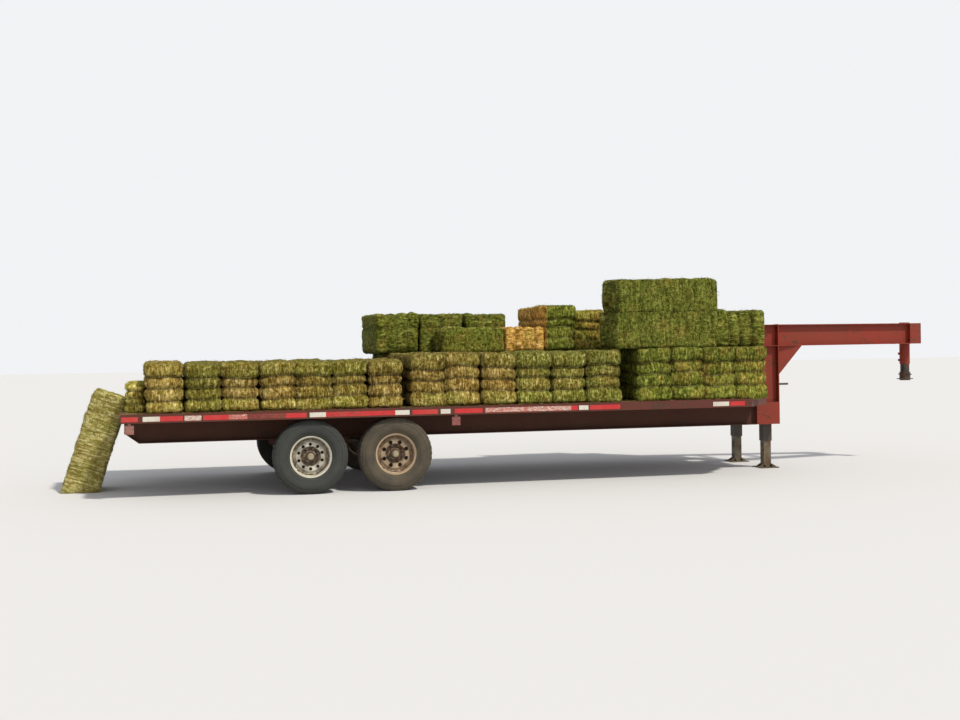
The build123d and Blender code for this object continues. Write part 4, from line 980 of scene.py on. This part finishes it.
def weldRun(start, end, rng):
    # A bead of overlapping pools from one point to another
    start, end = Vector(start), Vector(end)
    count = max(4, int((end - start).length / weld["step"]))
    path = [start.lerp(end, k / count) + Vector([rng.uniform(-1, 1) * weld["jitter"] for _ in range(3)])
            for k in range(count + 1)]
    return rodAlong(path, weldRadii(count + 1), weld["sides"])


def weldRing(centre, reach):
    count = int(2 * math.pi * reach / weld["step"] / 2) * 2
    return rodAlong(circle(Vector(centre), reach, count, xAxis, yAxis), weldRadii(count), weld["sides"], True)


def makeWelds():
    # The neck's joints: beam on riser, gussets, ties, coupler block and tube
    rng = random.Random(weld["seed"])
    beam, gusset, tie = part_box("neck_beams"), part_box("knee_gussets"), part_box("neck_ties")
    coupling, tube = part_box("coupler_block"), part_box("coupler_tube")
    front, rear, low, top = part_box("risers")[1].x, coupling[0].x, beam[0].z, beam[1].z
    half = weld["flange"] - weld["short"]
    tieEnds = (tie[0].x, tie[0].x + weld["tie"], tie[1].x - weld["tie"], tie[1].x)
    runs = []
    for side in (-1, 1):
        for x, reach in ((front, weld["beamAtRiser"]), (rear, weld["beamAtBlock"])):
            for z in (low, top):
                runs.append(((x, side * (reach - half), z), (x, side * (reach + half), z)))
            for y in (side * reach - weld["web"], side * reach + weld["web"]):
                runs.append(((x, y, low + weld["corner"]), (x, y, top - weld["corner"])))
        for way in (-1, 1):
            y = side * weld["beamAtRiser"] + way * weld["gusset"]
            runs.append(((front, y, gusset[0].z + weld["clear"]), (front, y, low - weld["short"])))
            runs.append(((front + weld["clear"], y, low), (gusset[1].x - weld["corner"], y, low)))
        for x, reach in zip(tieEnds, weld["tieReaches"]):
            runs.append(((x, side * reach, tie[0].z), (x, side * reach, tie[1].z)))
    parts = [weldRun(start, end, rng) for start, end in runs]
    for z in (coupling[0].z, coupling[1].z):
        parts.append(weldRing((tube[1].x - weld["tubeNose"], 0, z), weld["tube"]))
    addPiece("neck_welds", *gather(parts), "neckPaint", "frame_paint")


lampRing = {"out": 0.0035, "back": 0.001, "thick": 0.0048, "steps": 32, "sides": 8}
screws = {"apart": 0.034, "proud": 0.0005}
screwSizes = {"Radius": 0.0055, "Crown": 0.0042, "Height": 0.0026, "Sides": 10}


def makeLampRings():
    # A rubber ring round each tail lamp, and two screws in each marker plate
    rings = []
    for low, high in islands("tail_lamps"):
        reach = (high[2] - low[2]) / 2 + lampRing["out"]
        middle = Vector((high[0] - lampRing["back"], (low[1] + high[1]) / 2, (low[2] + high[2]) / 2))
        path = circle(middle, reach, lampRing["steps"], yAxis, zAxis)
        rings.append(rodAlong(path, lampRing["thick"], lampRing["sides"], True))
    addPiece("lamp_rings", *gather(rings), "rubberSeal", "tyre")
    points, facings = [], []
    for low, high in islands("marker_plates"):
        side, face = (1, high[1]) if low[1] > 0 else (-1, low[1])
        for way in (-1, 1):
            points.append(((low[0] + high[0]) / 2 + way * screws["apart"], face + side * screws["proud"],
                           (low[2] + high[2]) / 2))
            facings.append((0, side, 0))
    addHeads("marker_screws", points, facings, screwSizes)


makeWelds()
makeLampRings()
print("welds and lamp rings made")


def makeStage(reach=60.0):
    mesh = bpy.data.meshes.new("floor")
    mesh.from_pydata([(-reach, -reach, 0), (reach, -reach, 0), (reach, reach, 0), (-reach, reach, 0)], [],
                     [(0, 1, 2, 3)])
    floor = newObject("floor", mesh)
    shader = newMaterial("paleFloor", 0.9, specular=0.1)[0]
    shader.inputs["Base Color"].default_value = (0.62, 0.615, 0.605, 1)
    mesh.materials.append(finishes["paleFloor"])
    world = bpy.data.worlds.new("studio")
    bpy.context.scene.world = world
    world.use_nodes = True
    tree = world.node_tree
    back = tree.nodes["Background"].inputs
    path = put(tree, "ShaderNodeLightPath").outputs
    seen = Value(path["Is Camera Ray"])
    for ray in ("Is Glossy Ray", "Is Transmission Ray"):
        seen = seen.calc("MAXIMUM", path[ray])
    feed(back["Color"], seen.mix((0.92, 0.94, 1.0, 1), (0.93, 0.94, 0.96, 1)))
    feed(back["Strength"], seen.stretch(0, 1, 0.62, 0.95))


def addSun(name, turn, strength, angle, colour):
    lamp = bpy.data.lights.new(name, "SUN")
    lamp.energy, lamp.angle, lamp.color = strength, math.radians(angle), colour
    newObject(name, lamp).rotation_euler = Vector(turn).to_track_quat("Z", "Y").to_euler()


makeStage()
addSun("keySun", (0.46, -0.60, 1.0), 3.15, 4, (1.0, 0.96, 0.88))
addSun("fillSun", (0.1, -0.9, 0.25), 0.3, 40, (0.95, 0.97, 1.0))

# focal is in pixels of a picture 960 wide, the turns are in degrees
view = {"place": (deckRear + 0.452, -14.095, 1.56), "yaw": 13.0, "roll": -0.8, "focal": 1250.0,
        "shift": (0.026, -0.02)}
lens = bpy.data.cameras.new("photoView")
lens.sensor_width = 36.0
lens.lens = view["focal"] / 960 * lens.sensor_width
lens.shift_x, lens.shift_y = view["shift"]
lens.clip_end = 300
camera = newObject("photoView", lens)
camera.location = view["place"]
camera.rotation_euler = (Matrix.Rotation(math.radians(-view["yaw"]), 4, "Z")
                         @ Matrix.Rotation(math.radians(90), 4, "X")
                         @ Matrix.Rotation(math.radians(view["roll"]), 4, "Z")).to_euler()
bpy.context.scene.camera = camera
bpy.context.scene.view_settings.view_transform = "Standard"
